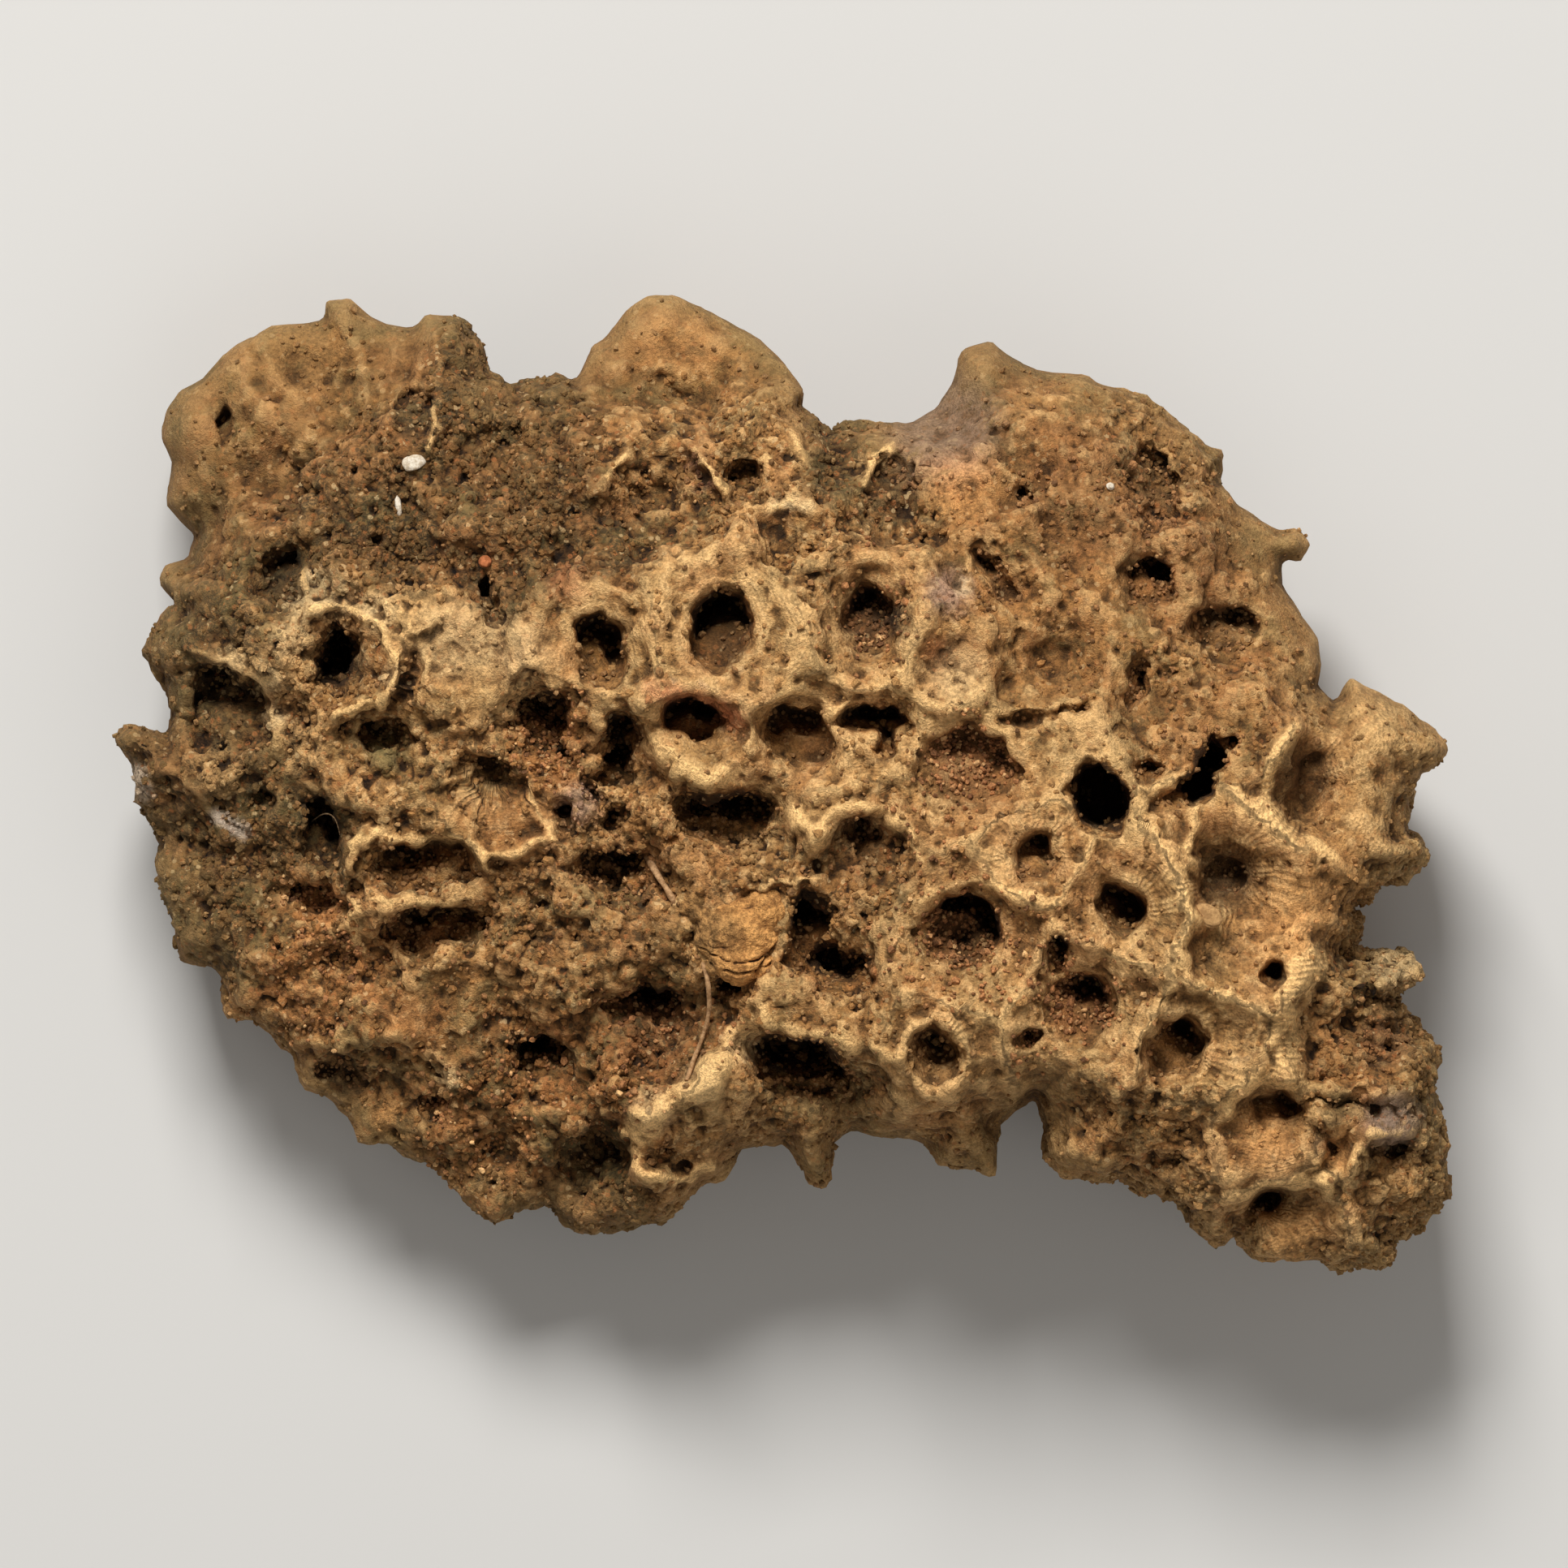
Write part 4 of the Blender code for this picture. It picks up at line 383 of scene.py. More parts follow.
RIDGES = (
    Ridge("arch", ((-35.0, -6.6), (-34.6, -5.1), (-32.9, -4.2), (-30.4, -4.3), (-27.9, -5.1), (-25.3, -6.2),
                   (-24.7, -7.5)), 1.3, 0.5),
    Ridge("slot_lip", ((-33.2, -9.6), (-30.3, -9.8), (-27.4, -10.2), (-25.3, -9.6)), 0.9, 0.5),
    Ridge("window_rim", ((-39.0, 17.2), (-38.0, 14.7), (-34.6, 14.1), (-32.7, 12.2), (-31.5, 8.8),
                         (-32.3, 6.2), (-36.0, 5.5)), 1.3, 0.55),
    Ridge("hollow_rim", ((-48.0, 10.6), (-44.6, 9.9), (-42.0, 8.2), (-41.5, 5.0), (-41.7, 2.0)), 1.3, 0.6),
    Ridge("column", ((-34.9, -9.5), (-34.6, -12.4), (-34.3, -14.2)), 1.2, 0.7),
    Ridge("window_crack", ((-30.2, 10.4), (-30.6, 8.0), (-31.7, 6.0)), -2.6, 0.5),
    Ridge("fan_edge", ((-20.9, 0.1), (-19.7, -2.5), (-18.2, -4.9), (-20.6, -6.2), (-24.5, -6.9)), 1.0, 0.45),
    Ridge("fan_crack", ((-24.8, 0.6), (-24.6, -2.6), (-25.2, -5.8)), -0.9, 0.35),
    Ridge("ribbed_wall", ((44.4, -14.8), (42.3, -16.8), (41.3, -19.2), (41.2, -22.0),
                          (41.5, -24.4)), 2.2, 1.1),
    Ridge("funnel_west", ((34.2, -1.8), (33.5, -5.3), (33.4, -9.6), (33.2, -13.9), (33.7, -16.8)), 1.4, 0.5),
    Ridge("funnel_north", ((42.3, 4.3), (40.2, 2.2), (39.4, -1.8), (41.8, -3.8), (46.1, -6.1)), 1.4, 0.5),
    Ridge("bowl_hood", ((11.6, -10.2), (12.8, -9.0), (16.0, -8.4), (19.2, -9.2), (23.1, -10.2)), 0.9, 0.45),
    Ridge("mauve_edge", ((48.2, -29.5), (50.2, -29.3), (52.0, -29.0)), 1.1, 0.5),
    Ridge("fin", ((48.3, -29.2), (47.6, -30.5), (46.9, -31.9)), 1.8, 0.55),
    Ridge("ragged_rim", ((42.0, -24.5), (39.5, -24.4), (37.6, -25.5), (36.4, -27.3)), 1.5, 0.6),
    Ridge("sand_lip", ((43.2, -24.7), (45.5, -25.2), (48.6, -25.9), (51.6, -26.2)), 0.8, 0.5),
    Ridge("green_cleft", ((42.9, -25.6), (45.6, -26.4), (48.4, -27.0)), -2.0, 0.6),
    Ridge("foot_lip", ((36.8, -33.6), (38.4, -33.7), (40.0, -32.8), (42.8, -32.6), (44.6, -33.1)), 1.5, 0.55),
    Ridge("cave_arch", ((-41.8, -2.0), (-40.1, -0.5), (-38.4, -0.5), (-36.7, -2.0),
                        (-35.9, -3.7)), 1.0, 0.45),
    Ridge("west_streak", ((-50.7, 0.8), (-47.8, -1.3), (-45.7, -3.7), (-44.0, -4.9)), 1.0, 0.6),
    Ridge("belt_ledge", ((-10.6, 2.8), (-8.4, 1.3), (-5.6, 0.8), (-2.6, 0.7), (-0.6, -1.0), (1.4, -3.0),
                         (3.2, -4.4)), 0.9, 0.7),
    Ridge("keyhole_rim", ((3.2, -5.8), (3.7, -3.7), (4.9, -2.2), (6.6, -1.8), (8.7, -2.4), (10.4, -4.1),
                          (11.3, -6.2)), 1.0, 0.5),
    Ridge("cave_eave", ((-2.0, -9.0), (0.5, -8.7), (3.4, -8.4)), 0.9, 0.4),
    Ridge("shelf_hump", ((-0.6, -17.0), (2.6, -18.2), (5.6, -20.4)), 0.6, 1.3),
    Ridge("slide_lip", ((-13.6, -16.9), (-10.8, -16.7), (-8.2, -17.0)), 0.9, 0.45),
    Ridge("eye_arch", ((-0.4, 5.2), (0.6, 7.0), (2.6, 7.6), (4.6, 6.8), (5.4, 5.9)), 0.8, 0.4),
    Ridge("dish_crack", ((18.6, 5.3), (21.4, 4.9), (24.9, 5.6)), -2.0, 0.4),
    Ridge("foot_crack", ((-33.5, -21.0), (-30.5, -22.2), (-28.0, -23.8)), -1.6, 0.5),
    Ridge("cave_lip", ((-2.0, -18.6), (-0.4, -20.2), (3.0, -21.3), (6.6, -21.6), (9.6, -22.8)), 1.0, 0.6),
    Ridge("spur", ((-1.4, -20.0), (-3.2, -21.9), (-5.7, -23.9), (-9.1, -26.1), (-12.4, -28.4)), 1.9, 1.1),
    Ridge("stub_rim", ((-12.5, -29.4), (-12.0, -31.6), (-9.9, -32.7), (-7.6, -32.8),
                       (-6.0, -31.8)), 1.4, 0.5),
    Ridge("foot_scarp", ((-39.7, -21.2), (-36.5, -21.8), (-33.0, -21.2), (-31.2, -20.6)), 0.9, 0.5),
    Ridge("pale_ledge", ((-26.8, 14.6), (-30.0, 12.4), (-33.0, 15.4)), 0.7, 0.5),
    Ridge("lobe_edge", ((-43.1, 35.8), (-42.0, 33.3), (-39.7, 31.4)), 0.7, 0.5),
    Ridge("dish_rib", ((-28.0, 31.1), (-27.8, 29.3), (-28.5, 27.6)), 1.8, 0.42),
    Ridge("short_rib", ((-26.4, 28.4), (-26.4, 27.0)), 0.6, 0.35),
    Ridge("curl_rim", ((0.9, 28.6), (1.9, 26.6), (2.0, 24.9)), 1.1, 0.4),
    Ridge("window_shelf", ((-38.5, 16.3), (-35.0, 16.8), (-32.0, 16.1)), 0.7, 0.45),
    Ridge("lobe_rim", ((-13.7, 33.0), (-12.2, 37.2), (-9.1, 38.2), (-4.9, 36.7), (-2.8, 35.2)), 0.5, 0.8),
    Ridge("dish_west", ((-12.6, 27.1), (-14.7, 23.8)), 1.3, 0.5),
    Ridge("dish_east", ((-7.2, 27.3), (-6.1, 25.7), (-4.9, 23.6)), 1.3, 0.5),
    Ridge("ring_crack", ((-1.1, 18.6), (0.3, 17.5), (1.6, 18.3)), -1.5, 0.3),
    Ridge("salmon_plate", ((-21.0, 15.9), (-17.5, 16.6), (-13.6, 15.6)), 0.6, 0.9),
    Ridge("moon_rim", ((6.6, 24.4), (7.2, 26.6), (9.0, 27.9)), 1.3, 0.45),
    Ridge("long_edge", ((19.0, 12.6), (18.8, 10.4), (19.1, 8.0)), -1.3, 0.35),
    Ridge("torn_strip", ((15.2, 17.6), (15.0, 14.6)), 0.8, 0.45),
    Ridge("curl_plug", ((-1.4, 26.3), (-1.0, 26.0)), 1.0, 0.9),
    Ridge("ring_arc", ((-0.7, 22.3), (0.9, 22.9), (2.7, 22.4)), 0.9, 0.45),
)

RIBBED_WALL = next(ridge for ridge in RIDGES if ridge.name == "ribbed_wall")

# How tall the walls between cups stand at a few places, as (x, y, height)
WALL_HEIGHTS = (
    (-36, 30, 0.1), (-28, -16, 0.0), (-20, 26, 0.2), (-8, 34, 0.3), (10, 27, 0.5), (28, 26, 0.5),
    (-46, 20, 0.3), (-16, 12, 0.8), (6, 12, 1.1), (24, 12, 0.7), (38, 14, 0.8), (-38, 8, 0.7),
    (-22, 2, 0.5), (0, 2, 1.0), (20, 0, 1.0), (36, -8, 1.3), (48, -4, 1.1), (26, -16, 1.2), (8, -12, 0.8),
    (-30, -8, 0.7), (-44, -8, 0.3), (-14, -12, 0.4), (-30, -20, 0.2), (-12, -26, 0.5), (10, -24, 0.9),
    (34, -28, 0.8), (48, -28, 0.6),
)
WALL_REACH = 7.0

# The clay is a few squashed balls, as (middle, half sizes) from the clay's own middle
CLAY_MIDDLE = (-3.4, -12.6, 28.2)
CLAY_LOBES = (
    ((0.0, 0.2, 0.0), (3.8, 3.2, 3.0)),
    ((2.3, 2.0, 0.9), (2.0, 2.1, 2.0)),
    ((-3.3, 2.2, 0.1), (1.7, 1.6, 1.7)),
    ((0.1, -2.2, 0.7), (2.9, 1.8, 2.1)),
)
CLAY_CRACK = ((3.2, -0.6), (2.8, -1.1), (1.5, -3.2))
CLAY_GRID = 0.14

# Routes from above, as (x, y, lift), where the lift is over the rock, and below 0 where the rock hides it
ROOTLET_ROUTE = (
    (-10.9, -6.3, -0.3), (-10.4, -7.2, 0.1), (-9.6, -8.4, 0.15), (-8.9, -9.5, 0.05), (-8.4, -10.3, -0.5),
    (-7.8, -11.6, -1.2), (-7.0, -13.2, -1.2), (-6.5, -14.4, -0.4), (-6.1, -15.6, 0.3), (-5.8, -17.4, 0.4),
    (-5.8, -19.2, 0.4), (-6.4, -21.2, 0.4), (-7.2, -23.2, 0.3), (-7.7, -24.6, 0.1),
)
HAIR_ROUTE = (
    (-38.7, -3.4, 0.0), (-38.0, -2.8, 0.5), (-37.3, -2.6, 0.5), (-36.8, -2.8, 0.5), (-36.4, -3.3, 0.5),
    (-36.2, -4.4, 0.1),
)
ROOTLET_RADIUS = 0.3
HAIR_RADIUS = 0.06


class Chip(NamedTuple):
    """A small piece that lies loose on the rock."""

    name: str
    place: tuple[float, float]
    half_sizes: tuple[float, float, float]
    turn: float     # From +X, in degrees.
    lift: float     # Of its middle over the rock.
    seed: int
    look: str


CHIPS = (
    Chip("pale_flake", (35.0, -11.0), (1.35, 0.85, 0.4), -35, 0.3, 91, "flake_stone"),
    Chip("white_chip_upper", (-30.1, 26.2), (1.0, 0.65, 0.4), 15, 0.05, 92, "white_shell"),
    Chip("white_chip_lower", (-31.4, 22.7), (0.28, 1.05, 0.35), 8, 0.5, 93, "white_shell"),
    Chip("white_chip_right", (27.1, 24.2), (0.35, 0.3, 0.3), 0, 0.15, 94, "white_shell"),
    Chip("orange_grain", (-24.2, 18.0), (0.55, 0.5, 0.45), 20, 0.5, 97, "orange_stone"),
)


# Colours


def rgba(red, green, blue):
    """A colour from the values, over 10 and up to 255, that a screen shows."""
    return (*(((value / 255 + 0.055) / 1.055) ** 2.4 for value in (red, green, blue)), 1.0)


BROWN = rgba(168, 117, 61)
DEEP_BROWN = rgba(116, 77, 37)
OLIVE = rgba(126, 98, 56)
PALE = rgba(212, 167, 108)
CREAM = rgba(232, 197, 142)
CREST_CREAM = rgba(240, 194, 128)
RED_SAND = rgba(172, 106, 58)
DARK_CRUST = rgba(62, 51, 32)
# Painted shade: the dark brown laid in crevices, in deep pit floors and on one pit's patch, where shade
# falls; on pit floors it is partly dark soil too.
PIT_SHADE_BROWN = rgba(44, 28, 13)
SALMON = rgba(196, 116, 76)
MAUVE = rgba(168, 136, 118)
ORANGE_TAN = rgba(210, 150, 88)
MAROON = rgba(82, 50, 38)
PALE_MAUVE = rgba(202, 180, 156)
SHADED_BROWN = rgba(78, 54, 30)
DULL_ORANGE = rgba(146, 106, 60)
# Painted shade laid in clefts, hollows and pit floors.
HOLLOW_SHADE_OLIVE = rgba(96, 78, 46)
# Painted shade for the band along the lump's edge.
EDGE_SHADE_OLIVE = rgba(132, 104, 62)
RUST = rgba(170, 110, 62)
SLATE_MAUVE = rgba(150, 124, 104)
RED_SHADE = rgba(118, 74, 44)
MOSS = rgba(92, 84, 48)

SAND_TONES = (rgba(104, 68, 40), rgba(174, 118, 72), rgba(214, 168, 112))
EARTHY_SAND = rgba(134, 100, 60)
CLAY_TONES = (rgba(164, 112, 60), rgba(220, 160, 92))
BROKEN_CLAY_TONES = (rgba(98, 74, 42), rgba(168, 126, 76))
CLAY_SHADE = rgba(72, 44, 24)
FLOOR_COLOUR = rgba(196, 194, 190)

# The two colours of each plain material
PLAIN_TONES = {
    "white_shell": (rgba(222, 210, 190), rgba(184, 166, 140)),
    "root_skin": (rgba(184, 144, 102), rgba(138, 102, 66)),
    "hair_skin": (rgba(170, 140, 104), rgba(120, 92, 62)),
    "flake_stone": (rgba(182, 142, 92), rgba(148, 112, 70)),
    "orange_stone": (rgba(184, 110, 66), rgba(146, 84, 46)),
}

# Tinted places of each colour, as (x, y, reach, strength). The dark browns and olives in pit floors, clefts
# and hollows are painted shade.
PATCHES = {
    SALMON: (
        (-10.2, 7.6, 1.6, 0.6), (-8.5, 6.9, 1.6, 0.6), (-6.6, 6.5, 1.6, 0.6), (-4.8, 6.0, 1.6, 0.6),
        (-3.5, 4.9, 1.6, 0.6), (-17.4, 16.2, 2.6, 0.35),
    ),
    SLATE_MAUVE: ((50.2, -27.9, 3.4, 0.9),),
    ORANGE_TAN: (
        (42.4, -37.4, 3.6, 0.6), (39.4, -28.8, 3.2, 0.6), (46.0, -30.4, 2.2, 0.6), (44.2, -21.0, 2.4, 0.5),
        (14.8, 23.7, 4.0, 0.8), (27.1, 16.0, 2.6, 0.4), (-32.4, -27.5, 2.0, 0.7), (42.0, -11.8, 5.5, 0.5),
        (45.6, -8.4, 4.0, 0.5), (-8.1, 35.0, 4.5, 0.3),
    ),
    MAROON: ((44.2, -29.8, 1.6, 0.5), (-6.9, 26.2, 1.2, 0.9), (-6.1, 24.7, 1.2, 0.9)),
    # Painted shade in clefts, hollows and pits.
    HOLLOW_SHADE_OLIVE: (
        (46.0, -26.5, 2.0, 0.8), (41.8, -34.4, 2.2, 0.6), (-45.6, 5.6, 4.4, 0.5), (-30.2, 30.0, 2.4, 0.8),
        (36.6, 12.9, 3.2, 0.5), (31.0, 24.2, 2.8, 0.4),
    ),
    RED_SHADE: (
        (49.6, -21.4, 3.6, 0.6), (15.1, 1.2, 4.5, 0.55), (-10.4, -20.8, 4.6, 0.5), (24.6, -18.8, 3.2, 0.5),
        (24.0, 24.0, 8.0, 0.35), (32.0, 19.0, 8.0, 0.3),
    ),
    PALE: (
        (38.8, -24.4, 2.0, 0.8), (36.8, -26.4, 1.8, 0.8), (12.8, -22.6, 4.8, 0.3), (42.0, -20.8, 2.0, 0.6),
        (-31.0, 13.4, 3.6, 0.8), (-44.6, 9.2, 3.4, 0.8), (-40.0, 8.6, 2.8, 0.5), (-39.5, 3.0, 3.4, 0.6),
        (-46.6, 0.8, 3.4, 0.5), (43.0, -16.2, 2.4, 0.7), (41.6, -19.6, 2.2, 0.7), (41.4, -22.8, 2.2, 0.6),
        (6.9, 25.8, 1.6, 0.8), (1.7, 26.8, 1.5, 0.8), (-20.2, 8.2, 3.0, 0.6), (-23.0, 6.6, 3.5, 0.5),
    ),
    MOSS: ((-32.1, 2.4, 2.8, 0.8),),
    MAUVE: ((-16.5, -1.8, 2.4, 0.6), (13.5, 28.8, 6.5, 0.4), (13.8, 15.6, 2.8, 0.6)),
    SHADED_BROWN: (
        (-4.7, 11.2, 2.8, 0.8), (14.9, -12.6, 3.8, 0.7), (6.6, -5.2, 3.4, 0.5), (9.2, 23.6, 3.2, 0.6),
        (7.3, 13.4, 3.4, 0.9), (36.9, -8.0, 3.8, 0.9), (42.5, 0.4, 4.0, 0.7), (-35.9, -24.4, 2.8, 0.7),
    ),
    OLIVE: ((-9.2, -13.0, 3.0, 0.5), (-1.8, -5.6, 3.0, 0.4)),
    PALE_MAUVE: (
        (-53.0, 0.8, 1.1, 0.8), (-52.6, -0.8, 1.3, 0.8), (-46.3, -2.9, 1.1, 0.9), (-45.2, -3.6, 1.1, 0.9),
        (-44.2, -4.2, 1.0, 0.8),
    ),
    CREAM: (
        (15.0, 15.9, 1.2, 0.8), (50.6, -15.0, 3.0, 0.5), (-38.2, 16.8, 1.3, 0.8), (-36.4, 15.0, 2.4, 0.5),
        (-0.4, 22.5, 0.9, 1.0), (0.9, 22.9, 1.0, 1.0), (2.2, 22.5, 0.9, 1.0), (-3.2, -21.6, 2.0, 0.6),
        (-6.6, -24.6, 2.4, 0.5), (-10.4, -27.0, 2.6, 0.5), (-27.4, -24.4, 1.3, 0.6), (14.4, 8.8, 3.4, 0.4),
        (-45.0, 9.9, 1.7, 0.8), (-42.2, 8.4, 1.7, 0.8), (-41.5, 5.2, 1.5, 0.7), (-40.3, 11.6, 2.4, 0.4),
        (-39.0, 14.4, 2.2, 0.5), (-33.0, 13.8, 2.2, 0.7), (-31.5, 8.6, 1.6, 0.6), (-27.0, 11.6, 4.5, 0.4),
        (-21.8, 11.0, 4.0, 0.4),
    ),
    DARK_CRUST: ((-36.0, 10.0, 3.6, 0.7), (-40.7, 16.2, 2.8, 0.6)),
    RED_SAND: ((12.7, 10.8, 1.8, 0.8),),
    DULL_ORANGE: ((-39.5, 34.6, 4.4, 0.9),),
    PIT_SHADE_BROWN: ((9.6, 13.2, 2.0, 0.7),),
}


# Numbers that look random but are always the same


def hashed(cells, seed):
    """A value from 0 to 1 for each whole-numbered cell, always the same for the same cell and seed."""
    primes = np.array((73856093, 19349663, 83492791), np.uint64)
    mixed = (cells.astype(np.int64).astype(np.uint64) * primes).sum(axis=1) + np.uint64(seed * 2654435761)
    mixed ^= mixed >> np.uint64(13)
    mixed *= np.uint64(0x9E3779B97F4A7C15)
    mixed ^= mixed >> np.uint64(29)
    return (mixed & np.uint64(0xFFFF)).astype(float) / 0xFFFF


def smooth_noise(points, size, seed):
    """Values from -1 to 1 that change smoothly over about size millimetres."""
    scaled = points / size
    cell = np.floor(scaled)
    part = scaled - cell
    part = part * part * (3 - 2 * part)
    total = np.zeros(len(points))
    for corner in itertools.product((0, 1), repeat=3):
        weight = np.prod(np.where(corner, part, 1 - part), axis=1)
        total += weight * hashed(cell + corner, seed)
    return 2 * total - 1


def rough_noise(points, size, octaves, seed):
    """The sum of smooth noises, each half as wide as the last and less high."""
    return sum(smooth_noise(points, size / 2**octave, seed + octave) / 1.8**octave
               for octave in range(octaves))


def cells_near(points, size, seed, margin=0.15):
    """The 27 cells of this size round each point, one at a time, and how many sizes off its middle each is.

    A middle lies anywhere in its cell, except within the margin, a share of the cell, of its sides.
    """
    scaled = points / size
    cell = np.floor(scaled)
    for step in itertools.product((-1, 0, 1), repeat=3):
        neighbour = cell + step
        place = np.stack([hashed(neighbour, seed + axis) for axis in range(3)], axis=1)
        middle = margin + (1 - 2 * margin) * place
        yield neighbour, np.linalg.norm(scaled - neighbour - middle, axis=1)


def crumbs(points, size, seed):
    """Rounded lumps about size millimetres across: 1 at a lump's middle, 0 in the creases between."""
    nearest = np.full(len(points), np.inf)
    for _, gap in cells_near(points, size, seed):
        nearest = np.minimum(nearest, gap)
    return np.clip(1 - nearest / 0.85, 0, 1)


def pores(points, size, share, seed):
    """Small round hollows, in the given share of cells of size millimetres: 1 at a hollow's middle."""
    deepest = np.zeros(len(points))
    for cell, gap in cells_near(points, size, seed):
        reach = 0.14 + 0.3 * hashed(cell, seed + 3)
        present = hashed(cell, seed + 4) < share
        deepest = np.maximum(deepest, present * eased(1.5 * (1 - gap / reach)))
    return deepest


def blocks(points, size, seed):
    """Angular pieces about size millimetres across, each at a level of its own from -1 to 1."""
    nearest = np.full(len(points), np.inf)
    level = np.zeros(len(points))
    for cell, gap in cells_near(points, size, seed, margin=0.0):
        closer = gap < nearest
        level = np.where(closer, 2 * hashed(cell, seed + 3) - 1, level)
        nearest = np.where(closer, gap, nearest)
    return level


def ledges(points, size, steps, seed):
    """Steps between nearly flat treads, like the broken edges of thin layers."""
    level = steps * rough_noise(points, size, 2, seed)
    tread = np.floor(level)
    return (tread + eased(3 * (level - tread) - 1)) / steps


def eased(value):
    value = np.clip(value, 0, 1)
    return value * value * (3 - 2 * value)


def flat_points(x, y):
    return np.stack([x, y, np.zeros(len(x))], axis=1)


# The relief, worked out from above


def distance_to_line(x, y, route):
    nearest = np.full(len(x), np.inf)
    for (ax, ay), (bx, by) in zip(route, route[1:]):
        length_squared = (bx - ax) ** 2 + (by - ay) ** 2
        along = np.clip(((x - ax) * (bx - ax) + (y - ay) * (by - ay)) / length_squared, 0, 1)
        nearest = np.minimum(nearest, np.hypot(x - ax - along * (bx - ax), y - ay - along * (by - ay)))
    return nearest


def blended(x, y, places, reach):
    """The mean of what is near, where places holds (x, y, value)."""
    total = np.zeros(len(x))
    weights = np.zeros(len(x))
    for px, py, value in places:
        weight = np.exp(-((x - px) ** 2 + (y - py) ** 2) / reach**2) + 1e-9
        total += weight * value
        weights += weight
    return total / weights


def ridge_heights(x, y):
    return sum(ridge.height * np.exp(-((distance_to_line(x, y, ridge.route) / ridge.width) ** 2))
               for ridge in RIDGES)


def pit_radius(x, y, pit, bore, turn):
    angle = math.radians(turn)
    dx, dy = x - pit[0], y - pit[1]
    across = (dx * math.cos(angle) + dy * math.sin(angle)) / bore[0]
    along = (dy * math.cos(angle) - dx * math.sin(angle)) / bore[1]
    return np.hypot(across, along)


def ragged(x, y):
    """Bends straight and round edges a little, so that nothing looks drawn with a compass."""
    flat = flat_points(x, y)
    rough = blended(x, y, [(*cup.centre, FINISHES[cup.finish].rough) for cup in CUPS], 4.5)
    torn = TORN_LEAST + TORN_BY_ROUGHNESS * rough
    bent = []
    for value, seed in ((x, 11), (y, 15)):
        value = value + torn * blocks(flat, 1.3, seed + 180)
        for number, (size, reach) in enumerate(BENDS):
            value = value + reach * smooth_noise(flat, size, seed + number)
        bent.append(value)
    return bent


def cup_and_neighbour(x, y):
    """For each point, the numbers of its own cup and the next, and how far off the wall between is."""
    centres = np.array([cup.centre for cup in CUPS])
    radii = np.array([cup.radius for cup in CUPS])
    spans = np.hypot(x[:, None] - centres[:, 0], y[:, None] - centres[:, 1]) / radii
    nearest = np.argpartition(spans, 1, axis=1)[:, :2]
    span = np.take_along_axis(spans, nearest, axis=1)
    first_is_own = span[:, 0] <= span[:, 1]
    own = np.where(first_is_own, nearest[:, 0], nearest[:, 1])
    other = np.where(first_is_own, nearest[:, 1], nearest[:, 0])
    wall = np.abs(span[:, 1] - span[:, 0]) / (1 / radii[own] + 1 / radii[other])
    return own, other, wall


def outside_pit(x, y, own):
    """How far each point is outside the pit of its own cup, in millimetres."""
    distance = np.zeros(len(x))
    for number, cup in enumerate(CUPS):
        inside = own == number
        radius = pit_radius(x[inside], y[inside], cup.pit or cup.centre, cup.bore, cup.turn)
        distance[inside] = np.maximum(radius - 1, 0) * math.sqrt(cup.bore[0] * cup.bore[1])
    return distance


def pit_depths(x, y):
    """How deep the pits go: steep on the upper side, with floors that rise to the lower side."""
    depth = np.zeros(len(x))
    pits = [(cup.pit or cup.centre, cup.bore, cup.turn, cup.depth) for cup in CUPS if cup.depth]
    uneven = FLOOR_UNEVEN * smooth_noise(flat_points(x, y), 1.6, 27)
    for pit, bore, turn, deepest in pits + list(HOLES):
        lean = 0.5 if pit[0] > LEAN_FROM else 0.0
        radius = pit_radius(x, y, pit, bore, turn)
        rise = lean * (x - pit[0]) / bore[0] + (1 - 0.3 * lean) * (y - pit[1]) / bore[1]
        lower_side = np.clip(-rise / np.maximum(radius, 0.1), 0, 1)
        taper = UPPER_TAPER + (LOWER_TAPER - UPPER_TAPER) * lower_side
        inward = eased((PIT_EDGE + PIT_SPREAD * lower_side - radius) / taper)
        rise = rise + uneven
        floor = 1.0 if deepest > STRAIGHT_FROM else LOW_SHARE + (1 - LOW_SHARE) * eased((rise + 0.5) / 1.5)
        depth = np.maximum(depth, deepest * floor * inward)
    return depth


def crest(x, y, wall):
    """How high the wall between two cups stands."""
    walls = blended(x, y, WALL_HEIGHTS, WALL_REACH)
    rounded = np.exp(-np.hypot(wall, CREST_ROUND) / WALL_WIDTH)
    return walls * rounded * (1 + CREST_UNEVEN * rough_noise(flat_points(x, y), 5.0, 3, 21))


